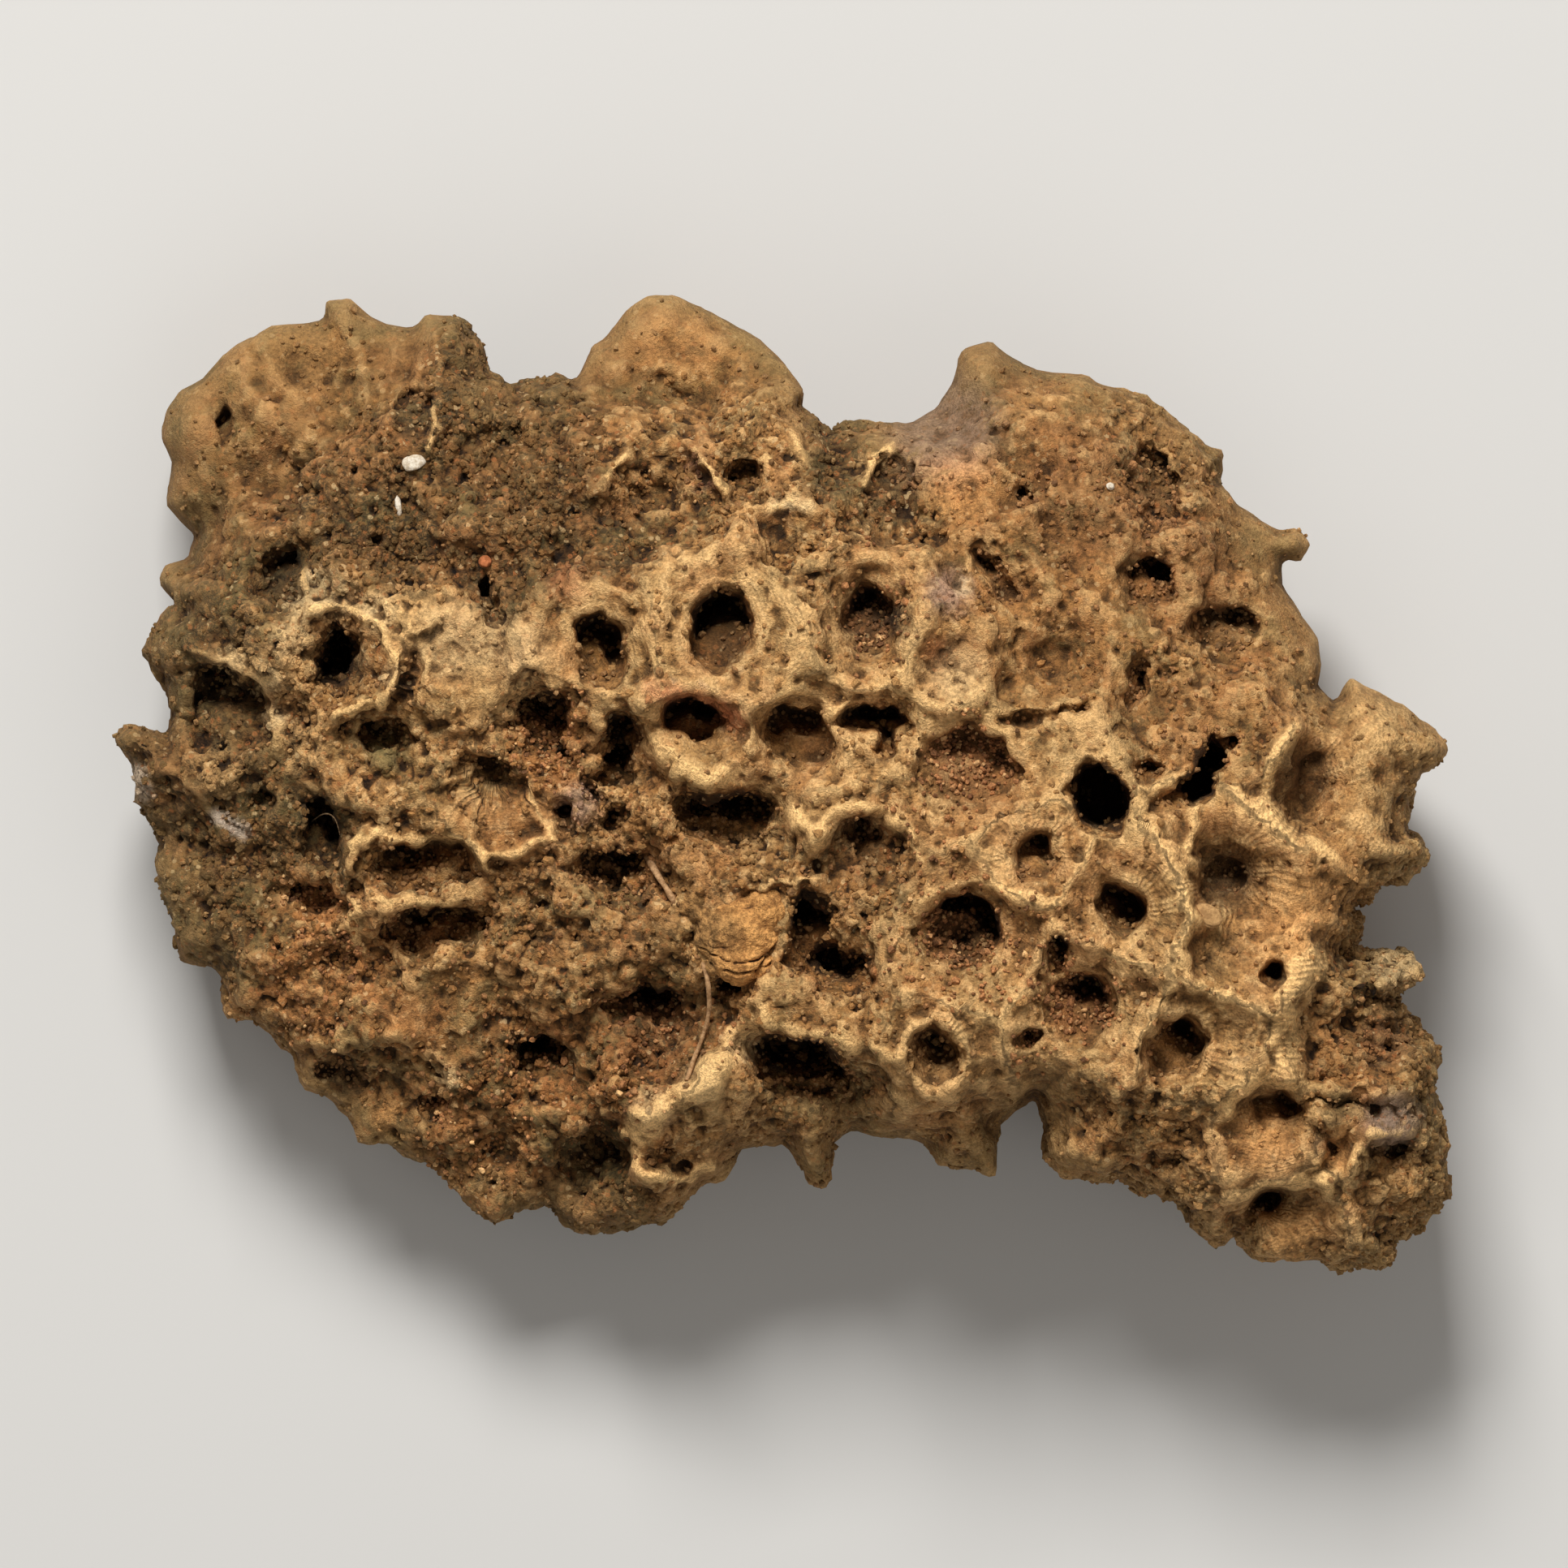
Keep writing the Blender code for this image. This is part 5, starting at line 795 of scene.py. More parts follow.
def faces_of_the_colony(x, y):
    """The heights of the upper face and of the underside at each point, in millimetres."""
    inward = distance_to_line(x, y, OUTLINE + OUTLINE[:1])
    edge = blended(x, y, EDGE_HEIGHTS, EDGE_HEIGHT_REACH)
    x, y = ragged(x, y)
    flat = flat_points(x, y)

    own, other, wall = cup_and_neighbour(x, y)
    tops = np.array([cup.top for cup in CUPS])
    drops = np.array([cup.drop for cup in CUPS])
    rings = np.array([cup.ring for cup in CUPS])
    level = tops[own] + (tops[other] - tops[own]) * 0.5 * np.exp(-((wall / WALL_WIDTH) ** 2))
    smooth_level = blended(x, y, [(*cup.centre, cup.top) for cup in CUPS], LEVEL_REACH)
    outside = outside_pit(x, y, own)
    share = outside / (outside + wall + 0.05)
    upper = LEVEL_STEP * level + (1 - LEVEL_STEP) * smooth_level
    upper += crest(x, y, wall)
    low_walls = WALLS_WITHOUT_BUMPS - blended(x, y, WALL_HEIGHTS, WALL_REACH)
    upper += BUMP_HEIGHT * low_walls * rough_noise(flat, 5.5, 3, 25)
    upper -= drops[own] * (1 - share) ** 1.4
    upper += rings[own] * np.exp(-(((outside - 0.75) / 0.6) ** 2))
    upper += ridge_heights(x, y)

    shoulder = 1 - np.clip(inward / SHOULDER, 0, 1)
    upper = edge + (upper - edge) * np.sqrt(1 - shoulder**2)

    flank = 1 - np.clip(inward / FLANK, 0, 1)
    under = (edge - EDGE_THICKNESS) * (1 - np.sqrt(1 - flank**2))
    angle = np.arctan2(y, 0.8 * x) + 0.05 * smooth_noise(flat, 12.0, 31)
    rib = np.abs(np.sin(0.5 * RIB_COUNT * angle))
    under += RIB_DEPTH * (1 - rib) ** 2 * np.sin(math.pi * np.clip(flank, 0, 1)) ** 0.5

    upper = np.maximum(upper - pit_depths(x, y), under + LEAST_FLOOR)
    return upper, under


def in_chunks(work, x, y):
    """Runs work on a few points at a time, and joins each of its results."""
    results = [work(x[start:start + CHUNK], y[start:start + CHUNK]) for start in range(0, len(x), CHUNK)]
    return [np.concatenate(parts) for parts in zip(*results)]


# Meshes


def read(items, name, width=3, kind=float):
    """One property of all items, with a row for each item."""
    values = np.empty(len(items) * width, kind)
    items.foreach_get(name, values)
    return values.reshape(-1, width)


def vertex_array(mesh):
    return read(mesh.vertices, "co")


def normal_array(mesh):
    return read(mesh.vertex_normals, "vector")


def triangle_array(mesh):
    mesh.calc_loop_triangles()
    return read(mesh.loop_triangles, "vertices", kind=np.int32)


def set_vertices(mesh, points):
    mesh.vertices.foreach_set("co", points.ravel())
    mesh.update()


def evaluated_mesh(obj):
    graph = bpy.context.evaluated_depsgraph_get()
    return bpy.data.meshes.new_from_object(obj.evaluated_get(graph))


def apply_modifiers(obj):
    mesh = evaluated_mesh(obj)
    obj.modifiers.clear()
    obj.data = mesh
    return obj


def remesh(obj, grid):
    modifier = obj.modifiers.new("skin", "REMESH")
    modifier.mode = "VOXEL"
    modifier.voxel_size = grid
    return apply_modifiers(obj)


def thin_out(obj, triangles, where=None):
    """Leaves so many triangles, of all or of those whose vertices are in where."""
    faces = triangle_array(obj.data)
    affected = len(faces) if where is None else np.count_nonzero(where[faces].all(axis=1))
    if affected > triangles:
        modifier = obj.modifiers.new("thin_out", "DECIMATE")
        modifier.ratio = 1 - (affected - triangles) / len(faces)
        modifier.use_collapse_triangulate = True
        if where is not None:
            group = obj.vertex_groups.new(name="thinned")
            group.add(np.flatnonzero(where).tolist(), 1.0, "REPLACE")
            modifier.vertex_group = group.name
            modifier.vertex_group_factor = 1000
        apply_modifiers(obj)
        obj.vertex_groups.clear()
    return obj


def new_object(name, data):
    obj = bpy.data.objects.new(name, data)
    bpy.context.scene.collection.objects.link(obj)
    return obj


def add_attribute(mesh, name, *values):
    """Stores one number for each vertex, or a vector of three, for the materials to read."""
    kind, field = ("FLOAT", "value") if len(values) == 1 else ("FLOAT_VECTOR", "vector")
    attribute = mesh.attributes.new(name, kind, "POINT")
    attribute.data.foreach_set(field, np.stack(values, axis=1).astype(np.float32).ravel())


def vertex_values(mesh, name):
    """A stored attribute, with a row for each vertex."""
    attribute = mesh.attributes[name]
    if attribute.data_type == "FLOAT":
        return read(attribute.data, "value", 1, np.float32)
    return read(attribute.data, "vector", kind=np.float32)


def outline_slab():
    curve = bpy.data.curves.new("outline", "CURVE")
    curve.dimensions = "2D"
    curve.fill_mode = "BOTH"
    curve.extrude = EDGE_THICKNESS / 2
    spline = curve.splines.new("POLY")
    spline.points.add(len(OUTLINE) - 1)
    for point, (x, y) in zip(spline.points, OUTLINE):
        point.co = (x, y, 0, 1)
    spline.use_cyclic_u = True
    guide = new_object("outline_guide", curve)
    slab = new_object("coral_surface", evaluated_mesh(guide))
    bpy.data.objects.remove(guide)
    return remesh(slab, SLAB_GRID)


def shape_colony(slab):
    points = vertex_array(slab.data)
    share = np.clip(points[:, 2] / EDGE_THICKNESS + 0.5, 0, 1)
    upper, under = in_chunks(faces_of_the_colony, points[:, 0], points[:, 1])
    points[:, 2] = under + share * (upper - under)
    set_vertices(slab.data, points)
    return remesh(slab, SKIN_GRID)


def zone_values(x, y):
    """The finish at each point, blended from the cups near it, as one array per value.

    Lips are smooth. The last value is how near the lump's edge is, which is crumbly on the right and
    smooth elsewhere.
    """
    flat = flat_points(x, y)
    lip = np.clip(ridge_heights(*ragged(x, y)), 0, 1)
    x = x + 1.4 * smooth_noise(flat, 4.0, 71)
    y = y + 1.4 * smooth_noise(flat, 4.0, 72)
    total = np.zeros((len(x), len(Finish._fields)))
    weights = np.zeros(len(x))
    for cup in CUPS:
        gap = np.hypot(x - cup.centre[0], y - cup.centre[1]) / cup.radius
        weight = np.exp(-2.2 * gap**2) + 1e-9
        total += weight[:, None] * np.array(FINISHES[cup.finish])
        weights += weight
    pale, red, dark, rough, striped = (total / weights[:, None]).T
    near_edge = np.exp(-((distance_to_line(x, y, OUTLINE + OUTLINE[:1]) / EDGE_BAND) ** 2))
    crumbly = eased((x - CRUMBLY_FROM) / 8) * eased((8 - y) / 8)
    rough = np.clip(rough + near_edge * (0.7 * crumbly - 0.4) - 0.6 * lip, 0.1, 1.2)
    return pale, red, dark, rough, striped, near_edge


def patch_values(x, y):
    """The colour of the tinted places near each point, and how strongly it shows."""
    total = np.full((len(x), 3), 1e-9)
    weights = np.full(len(x), 1e-9)
    for tint, places in PATCHES.items():
        for px, py, reach, strength in places:
            weight = strength * eased(1.4 * (1 - np.hypot(x - px, y - py) / reach))
            total += weight[:, None] * np.array(tint[:3])
            weights += weight
    return total / weights[:, None], np.clip(weights, 0, 1)


def roughen(obj):
    """Gives the skin much the same lumps as the solid's, and finer ones where the rock is crumbly."""
    points = vertex_array(obj.data)
    *_, rough, _, _ = in_chunks(zone_values, points[:, 0], points[:, 1])
    push = SWELLS * rough_noise(points, 3.4, 2, 41) + KNOBS * (crumbs(points, 2.2, 51) - 0.35)
    push *= 0.25 + 0.75 * eased((points[:, 2] - 8.0) / 10.0)
    push *= 0.45 + 0.55 * eased(rough / 0.6)
    fine = GRAIN_KNOBS * (crumbs(points, 1.15, 55) - 0.3) + RIPPLES * rough_noise(points, 0.9, 2, 45)
    fine += STEPS * ledges(points, 2.6, 3, 47) - PORES * pores(points, 1.9, 0.45, 57)
    bent = points + 0.5 * np.stack([smooth_noise(points, 1.6, seed) for seed in (141, 142, 143)], axis=1)
    fine += BIG_BLOCKS * blocks(bent, 3.1, 145) + SMALL_BLOCKS * blocks(bent, 1.5, 155)
    set_vertices(obj.data, points + normal_array(obj.data) * (push + rough * fine)[:, None])
    return obj


def flatten_base(obj):
    points = vertex_array(obj.data)
    points[:, 2] = np.maximum(points[:, 2], BASE_CUT)
    set_vertices(obj.data, points)
    return obj


def hollowness(mesh, rounds):
    """How far each vertex lies below the mean of those around it, in millimetres."""
    points = vertex_array(mesh)
    normals = normal_array(mesh)
    edges = read(mesh.edges, "vertices", 2, np.int32)
    first, second = edges.T
    count = np.bincount(edges.ravel(), minlength=len(points))[:, None]
    mean = points.copy()
    for _ in range(rounds):
        total = np.empty_like(mean)
        for axis in range(3):
            total[:, axis] = np.bincount(first, mean[second, axis], len(points))
            total[:, axis] += np.bincount(second, mean[first, axis], len(points))
        mean = total / count
    return ((mean - points) * normals).sum(axis=1)


def mark_surface(obj):
    """Stores what the rock's material needs at each vertex."""
    mesh = obj.data
    points = vertex_array(mesh)
    pale, red, dark, rough, striped, near_edge = in_chunks(zone_values, points[:, 0], points[:, 1])

    def marks(x, y):
        x, y = ragged(x, y)
        own, _, wall = cup_and_neighbour(x, y)
        pits = np.array([cup.pit or cup.centre for cup in CUPS])[own]
        has_pit = np.array([cup.pit is not None for cup in CUPS])[own]
        ribbed = np.exp(-((distance_to_line(x, y, RIBBED_WALL.route) / RIBBED_WALL.width) ** 2))
        return (outside_pit(x, y, own) * has_pit, x - pits[:, 0], y - pits[:, 1], pit_depths(x, y),
                crest(x, y, wall), np.maximum(ridge_heights(x, y), 0), ribbed)

    outside, across, along, depth, edge, lip, ribbed = in_chunks(marks, points[:, 0], points[:, 1])
    patch, patch_share = in_chunks(patch_values, points[:, 0], points[:, 1])
    # Painted shade: an olive band along the lump's edge, where its sides turn away from the light, mixed in
    # with the patches.
    rim = 0.6 * near_edge
    tinted = patch * patch_share[:, None] + rim[:, None] * np.array(EDGE_SHADE_OLIVE[:3])
    patch = tinted / (patch_share + rim + 1e-9)[:, None]
    edge = edge * pale * (1 - 0.7 * dark) + lip * (1 - 0.35 * dark)
    add_attribute(mesh, "zone", pale, red, dark)
    add_attribute(mesh, "local", across, along, outside)
    add_attribute(mesh, "cavity", hollowness(mesh, 2), hollowness(mesh, 14), depth)
    add_attribute(mesh, "lines", edge, ribbed, striped)
    add_attribute(mesh, "cloud", eased(0.5 + 0.75 * rough_noise(points, 5.0, 3, 75)))
    add_attribute(mesh, "hue", rough_noise(points, 3.2, 3, 76))
    add_attribute(mesh, "patch", *patch.T)
    add_attribute(mesh, "patch_share", np.clip(patch_share + rim, 0, 1))
    add_attribute(mesh, "rough", rough)


def colony_surface():
    obj = flatten_base(roughen(shape_colony(outline_slab())))
    normals = normal_array(obj.data)
    thin_out(obj, UNDERSIDE_TRIANGLES, normals[:, 2] < FACING_DOWN)
    flatten_base(thin_out(obj, COLONY_TRIANGLES))
    obj.data.shade_smooth()
    mark_surface(obj)
    return obj


def shift_to_frame(obj):
    """How far the colony's own millimetres lie from the frame's, from its box and the solid's."""
    low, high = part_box("coral_colony")
    points = vertex_array(obj.data)
    middle = (points.min(axis=0) + points.max(axis=0)) / 2
    frame_middle = (low + high) / 2 / METRES_PER_MM
    return Vector((frame_middle[0] - middle[0], frame_middle[1] - middle[1], -BASE_CUT))


# Loose matter on the rock


def lump_shape(detail):
    bpy.ops.mesh.primitive_ico_sphere_add(subdivisions=detail, radius=1)
    obj = bpy.context.object
    shape = vertex_array(obj.data), triangle_array(obj.data)
    bpy.data.objects.remove(obj)
    return shape


def turned(vectors, random):
    """Turns each set of vectors by a rotation of its own."""
    quaternions = random.normal(size=(len(vectors), 4))
    quaternions /= np.linalg.norm(quaternions, axis=1)[:, None]
    w, xyz = quaternions[:, :1, None], quaternions[:, None, 1:]
    doubled = 2 * np.cross(xyz, vectors)
    return vectors + w * doubled + np.cross(xyz, doubled)


def scatter(name, surface, likelihood, count, sizes, seed, sink):
    """Many small lumps on the surface as one mesh, thicker where likelihood, one value per vertex, is high.

    Each lump is sunk by a share of its size, and has the surface's colours all over, its painted shade among
    them.
    """
    random = np.random.default_rng(seed)
    points = vertex_array(surface.data)
    triangles = triangle_array(surface.data)
    corners = points[triangles]
    cross = np.cross(corners[:, 1] - corners[:, 0], corners[:, 2] - corners[:, 0])
    area = np.linalg.norm(cross, axis=1) / 2
    chance = area * likelihood[triangles].mean(axis=1)
    chosen = random.choice(len(triangles), count, p=chance / chance.sum())
    mix = random.dirichlet((1, 1, 1), count)
    places = (corners[chosen] * mix[:, :, None]).sum(axis=1)
    normals = cross[chosen] / (2 * area[chosen, None])

    ball, faces = lump_shape(1)
    size = sizes[0] + (sizes[1] - sizes[0]) * random.beta(1.2, 3.5, count)
    stretch = random.uniform(0.5, 1.0, (count, 1, 3))
    dents = random.uniform(0.68, 1.2, (count, len(ball), 1))
    lumps = turned(ball[None] * stretch * dents, random) * size[:, None, None] / 2
    lumps += (places + normals * (0.5 - sink) * size[:, None])[:, None]
    faces = (faces[None] + len(ball) * np.arange(count)[:, None, None]).reshape(-1, 3)

    mesh = bpy.data.meshes.new(name)
    mesh.from_pydata(lumps.reshape(-1, 3), [], faces)
    add_attribute(mesh, "tint", np.repeat(random.uniform(0, 1, count), len(ball)))
    for attribute in ("zone", "patch", "patch_share"):
        values = vertex_values(surface.data, attribute)[triangles[chosen, 0]]
        add_attribute(mesh, attribute, *np.repeat(values, len(ball), axis=0).T)
    return new_object(name, mesh)


def sand_and_crumbs(surface):
    mesh = surface.data
    points = vertex_array(mesh)
    upward = normal_array(mesh)[:, 2]
    _, red, dark = vertex_values(mesh, "zone").T
    depth = vertex_values(mesh, "cavity")[:, 2]
    rough = vertex_values(mesh, "rough")[:, 0]
    patchy = np.clip(0.35 + smooth_noise(points, 3.5, 81) + 0.5 * smooth_noise(points, 1.2, 82), 0, 1)
    on_face = (upward > 0.3) & (points[:, 2] > 9)
    shallow = eased(depth / 1.5) * eased((7.0 - depth) / 3.0)

    floor_sand = on_face * (0.03 + 0.7 * red**2 * patchy + 1.6 * shallow * red * (1 - 0.8 * dark))
    crumb_chance = (upward > 0.15) * (points[:, 2] > 9) * rough**2 * (0.15 + patchy) * (1 - 0.7 * shallow)
    return (
        scatter("sand_grains", surface, floor_sand, SAND_COUNT, SAND_SIZES, 5, 0.3),
        scatter("rock_crumbs", surface, crumb_chance, CRUMB_COUNT, CRUMB_SIZES, 6, 0.5),
    )


def clay_lump():
    lobes = []
    for middle, half_sizes in CLAY_LOBES:
        bpy.ops.mesh.primitive_ico_sphere_add(subdivisions=5, radius=1)
        lobe = bpy.context.object
        lobe.data.transform(Matrix.Translation(middle) @ Matrix.Diagonal((*half_sizes, 1)))
        lobes.append(lobe)
    lump = lobes[0]
    for lobe in lobes[1:]:
        union = lump.modifiers.new("lobe", "BOOLEAN")
        union.operation = "UNION"
        union.object = lobe
        union.solver = "EXACT"
    apply_modifiers(lump)
    for lobe in lobes[1:]:
        bpy.data.objects.remove(lobe)
    lump.name = "clay"
    remesh(lump, CLAY_GRID)
    smoothing = lump.modifiers.new("pressed", "SMOOTH")
    smoothing.iterations = 18
    apply_modifiers(lump)

    points = vertex_array(lump.data)
    normals = normal_array(lump.data)
    x, y = points[:, 0], points[:, 1]
    broken = np.exp(-(((x + 1.0) ** 2 + (y - 0.7) ** 2) / 1.9**2)) + eased((-1.4 - x) / 1.2)
    broken = np.clip(broken + 0.3 * rough_noise(points, 1.5, 2, 67), 0, 1)
    push = 0.26 * rough_noise(points, 2.2, 4, 61) + 0.55 * broken * (crumbs(points, 1.2, 63) - 0.5)
    sheets = y - 0.06 * x**2 + 0.25 * points[:, 2] + 0.5 * smooth_noise(points, 2.4, 64)
    sheets += 0.2 * smooth_noise(points, 0.9, 68)
    below = eased((-0.7 - y) / 0.5)
    crack = np.exp(-((sheets % 1.0 - 0.5) / 0.12) ** 2)
    push -= 0.5 * below * crack * eased(0.6 + 1.6 * smooth_noise(points, 1.5, 65))
    push -= 0.6 * np.exp(-((distance_to_line(x, y, CLAY_CRACK) / 0.16) ** 2))
    push += 0.1 * rough_noise(points, 0.6, 2, 66)
    set_vertices(lump.data, points + normals * push[:, None])
    lump.data.transform(Matrix.Translation(CLAY_MIDDLE))
    hollow = hollowness(lump.data, 6)
    add_attribute(lump.data, "clay_state", 1 - 0.8 * broken, hollow, hollow)
    return lump


def tube(name, route, radius, sides=6):
    """A thin strand along a route, as a mesh."""
    curve = bpy.data.curves.new(name, "CURVE")
    curve.dimensions = "3D"
    curve.bevel_depth = radius
    curve.bevel_resolution = sides // 2 - 1
    curve.resolution_u = 6
    curve.use_fill_caps = True
    spline = curve.splines.new("NURBS")
    spline.points.add(len(route) - 1)
    for number, (point, place) in enumerate(zip(spline.points, route)):
        point.co = (*place, 1)
        point.radius = 1 - 0.35 * number / len(route)
    spline.order_u = 4
    spline.use_endpoint_u = True
    guide = new_object(name, curve)
    mesh = evaluated_mesh(guide)
    bpy.data.objects.remove(guide)
    return new_object(name, mesh)


def above(tree, x, y, lift):
    """The point lift millimetres over the rock at (x, y)."""
    hit, *_ = tree.ray_cast(Vector((x, y, 60)), Vector((0, 0, -1)))
    return Vector((x, y, (hit.z if hit else 20) + lift))


def strand_route(tree, route):
    """Points over the rock along the route, drawn straight across hollows as a stiff strand spans them."""
    grounds = [above(tree, x, y, 0.0).z for x, y, _ in route]
    points = []
    for number, (x, y, lift) in enumerate(route):
        near = sorted(grounds[max(0, number - 2):number + 3])
        points.append((x, y, max(grounds[number], sum(near[-2:]) / 2 - 0.4) + lift))
    return points


def rootlet(tree):
    strand = tube("rootlet", strand_route(tree, ROOTLET_ROUTE), ROOTLET_RADIUS, 10)
    points = vertex_array(strand.data)
    knots = 0.09 * rough_noise(points, 1.6, 2, 95)
    set_vertices(strand.data, points + normal_array(strand.data) * knots[:, None])
    return strand


def hair(tree):
    return tube("hair", strand_route(tree, HAIR_ROUTE), HAIR_RADIUS)


def loose_chip(tree, chip):
    ball, faces = lump_shape(4)
    swollen = 1 + 0.14 * rough_noise(ball * 2, 1.6, 2, chip.seed)
    lumpy = ball * swollen[:, None] * np.array(chip.half_sizes)
    mesh = bpy.data.meshes.new(chip.name)
    mesh.from_pydata(lumpy, [], faces)
    place = above(tree, *chip.place, chip.lift)
    mesh.transform(Matrix.Translation(place) @ Matrix.Rotation(math.radians(chip.turn), 4, "Z"))
    return new_object(chip.name, mesh)


# Materials


class Shader:
    """A material, and short calls for the nodes that it is made of."""

    def __init__(self, name, roughness):
        self.material = bpy.data.materials.new(name)
        self.material.use_nodes = True
        self.tree = self.material.node_tree
        self.surface = self.tree.nodes["Principled BSDF"]
        self.surface.inputs["Roughness"].default_value = roughness
        self.surface.inputs["Specular IOR Level"].default_value = 0.25
        self.position = self.make("TexCoord", output="Object")

    def make(self, kind, inputs=None, output=0, **settings):
        node = self.tree.nodes.new("ShaderNode" + kind)
        for key, value in settings.items():
            setattr(node, key, value)
        for key, value in (inputs or {}).items():
            if isinstance(value, bpy.types.NodeSocket):
                self.tree.links.new(value, node.inputs[key])
            else:
                node.inputs[key].default_value = value
        return node.outputs[output]

    def math(self, operation, *values):
        return self.make("Math", dict(enumerate(values)), operation=operation)

    def times(self, *values):
        return functools.reduce(lambda product, value: self.math("MULTIPLY", product, value), values)

    def plus(self, *values):
        return functools.reduce(lambda total, value: self.math("ADD", total, value), values)

    def minus(self, value, less):
        return self.math("SUBTRACT", value, less)

    def mix(self, share, first, second, blend="MIX"):
        # These are the numbers of the mix node's sockets for colours.
        return self.make("Mix", {0: share, 6: first, 7: second}, 2, data_type="RGBA", blend_type=blend)

    def layered(self, colour, layers):
        """Lays each layer's tint over the colour, as strongly as the layer's share says."""
        for share, tint in layers:
            colour = self.mix(share, colour, tint)
        return colour

    def shaded(self, colour, tone):
        """The colour made lighter or darker by a factor."""
        return self.mix(1.0, colour, self.make("CombineColor", {0: tone, 1: tone, 2: tone}), "MULTIPLY")

    def noise(self, size, detail, roughness):
        scale = 1 / (size * METRES_PER_MM)
        return self.make("TexNoise", {"Vector": self.position, "Scale": scale, "Detail": detail,
                                      "Roughness": roughness})

    def grains(self, size):
        """Packed grains of this size: the distance from each grain's middle, and a random colour."""
        scale = 1 / (size * METRES_PER_MM)
        distance = self.make("TexVoronoi", {"Vector": self.position, "Scale": scale}, "Distance")
        return distance, distance.node.outputs["Color"]

    def ramp(self, value, low, high, to_low=0.0, to_high=1.0):
        inputs = {"Value": value, "From Min": low, "From Max": high, "To Min": to_low, "To Max": to_high}
        return self.make("MapRange", inputs, interpolation_type="SMOOTHSTEP")

    def attribute(self, name, output="Fac"):
        return self.make("Attribute", output=output, attribute_name=name)

    def parts(self, vector):
        return self.make("SeparateXYZ", {0: vector}).node.outputs

    def three(self, name):
        """The three values of a stored vector."""
        return self.parts(self.attribute(name, "Vector"))

    def finish(self, colour, height, distance_mm):
        """Connects the colour, and the height of the fine relief that is too small for the mesh."""
        normal = self.make("Bump", {"Height": height, "Distance": distance_mm * METRES_PER_MM})
        self.tree.links.new(colour, self.surface.inputs["Base Color"])
        self.tree.links.new(normal, self.surface.inputs["Normal"])
        return self.material


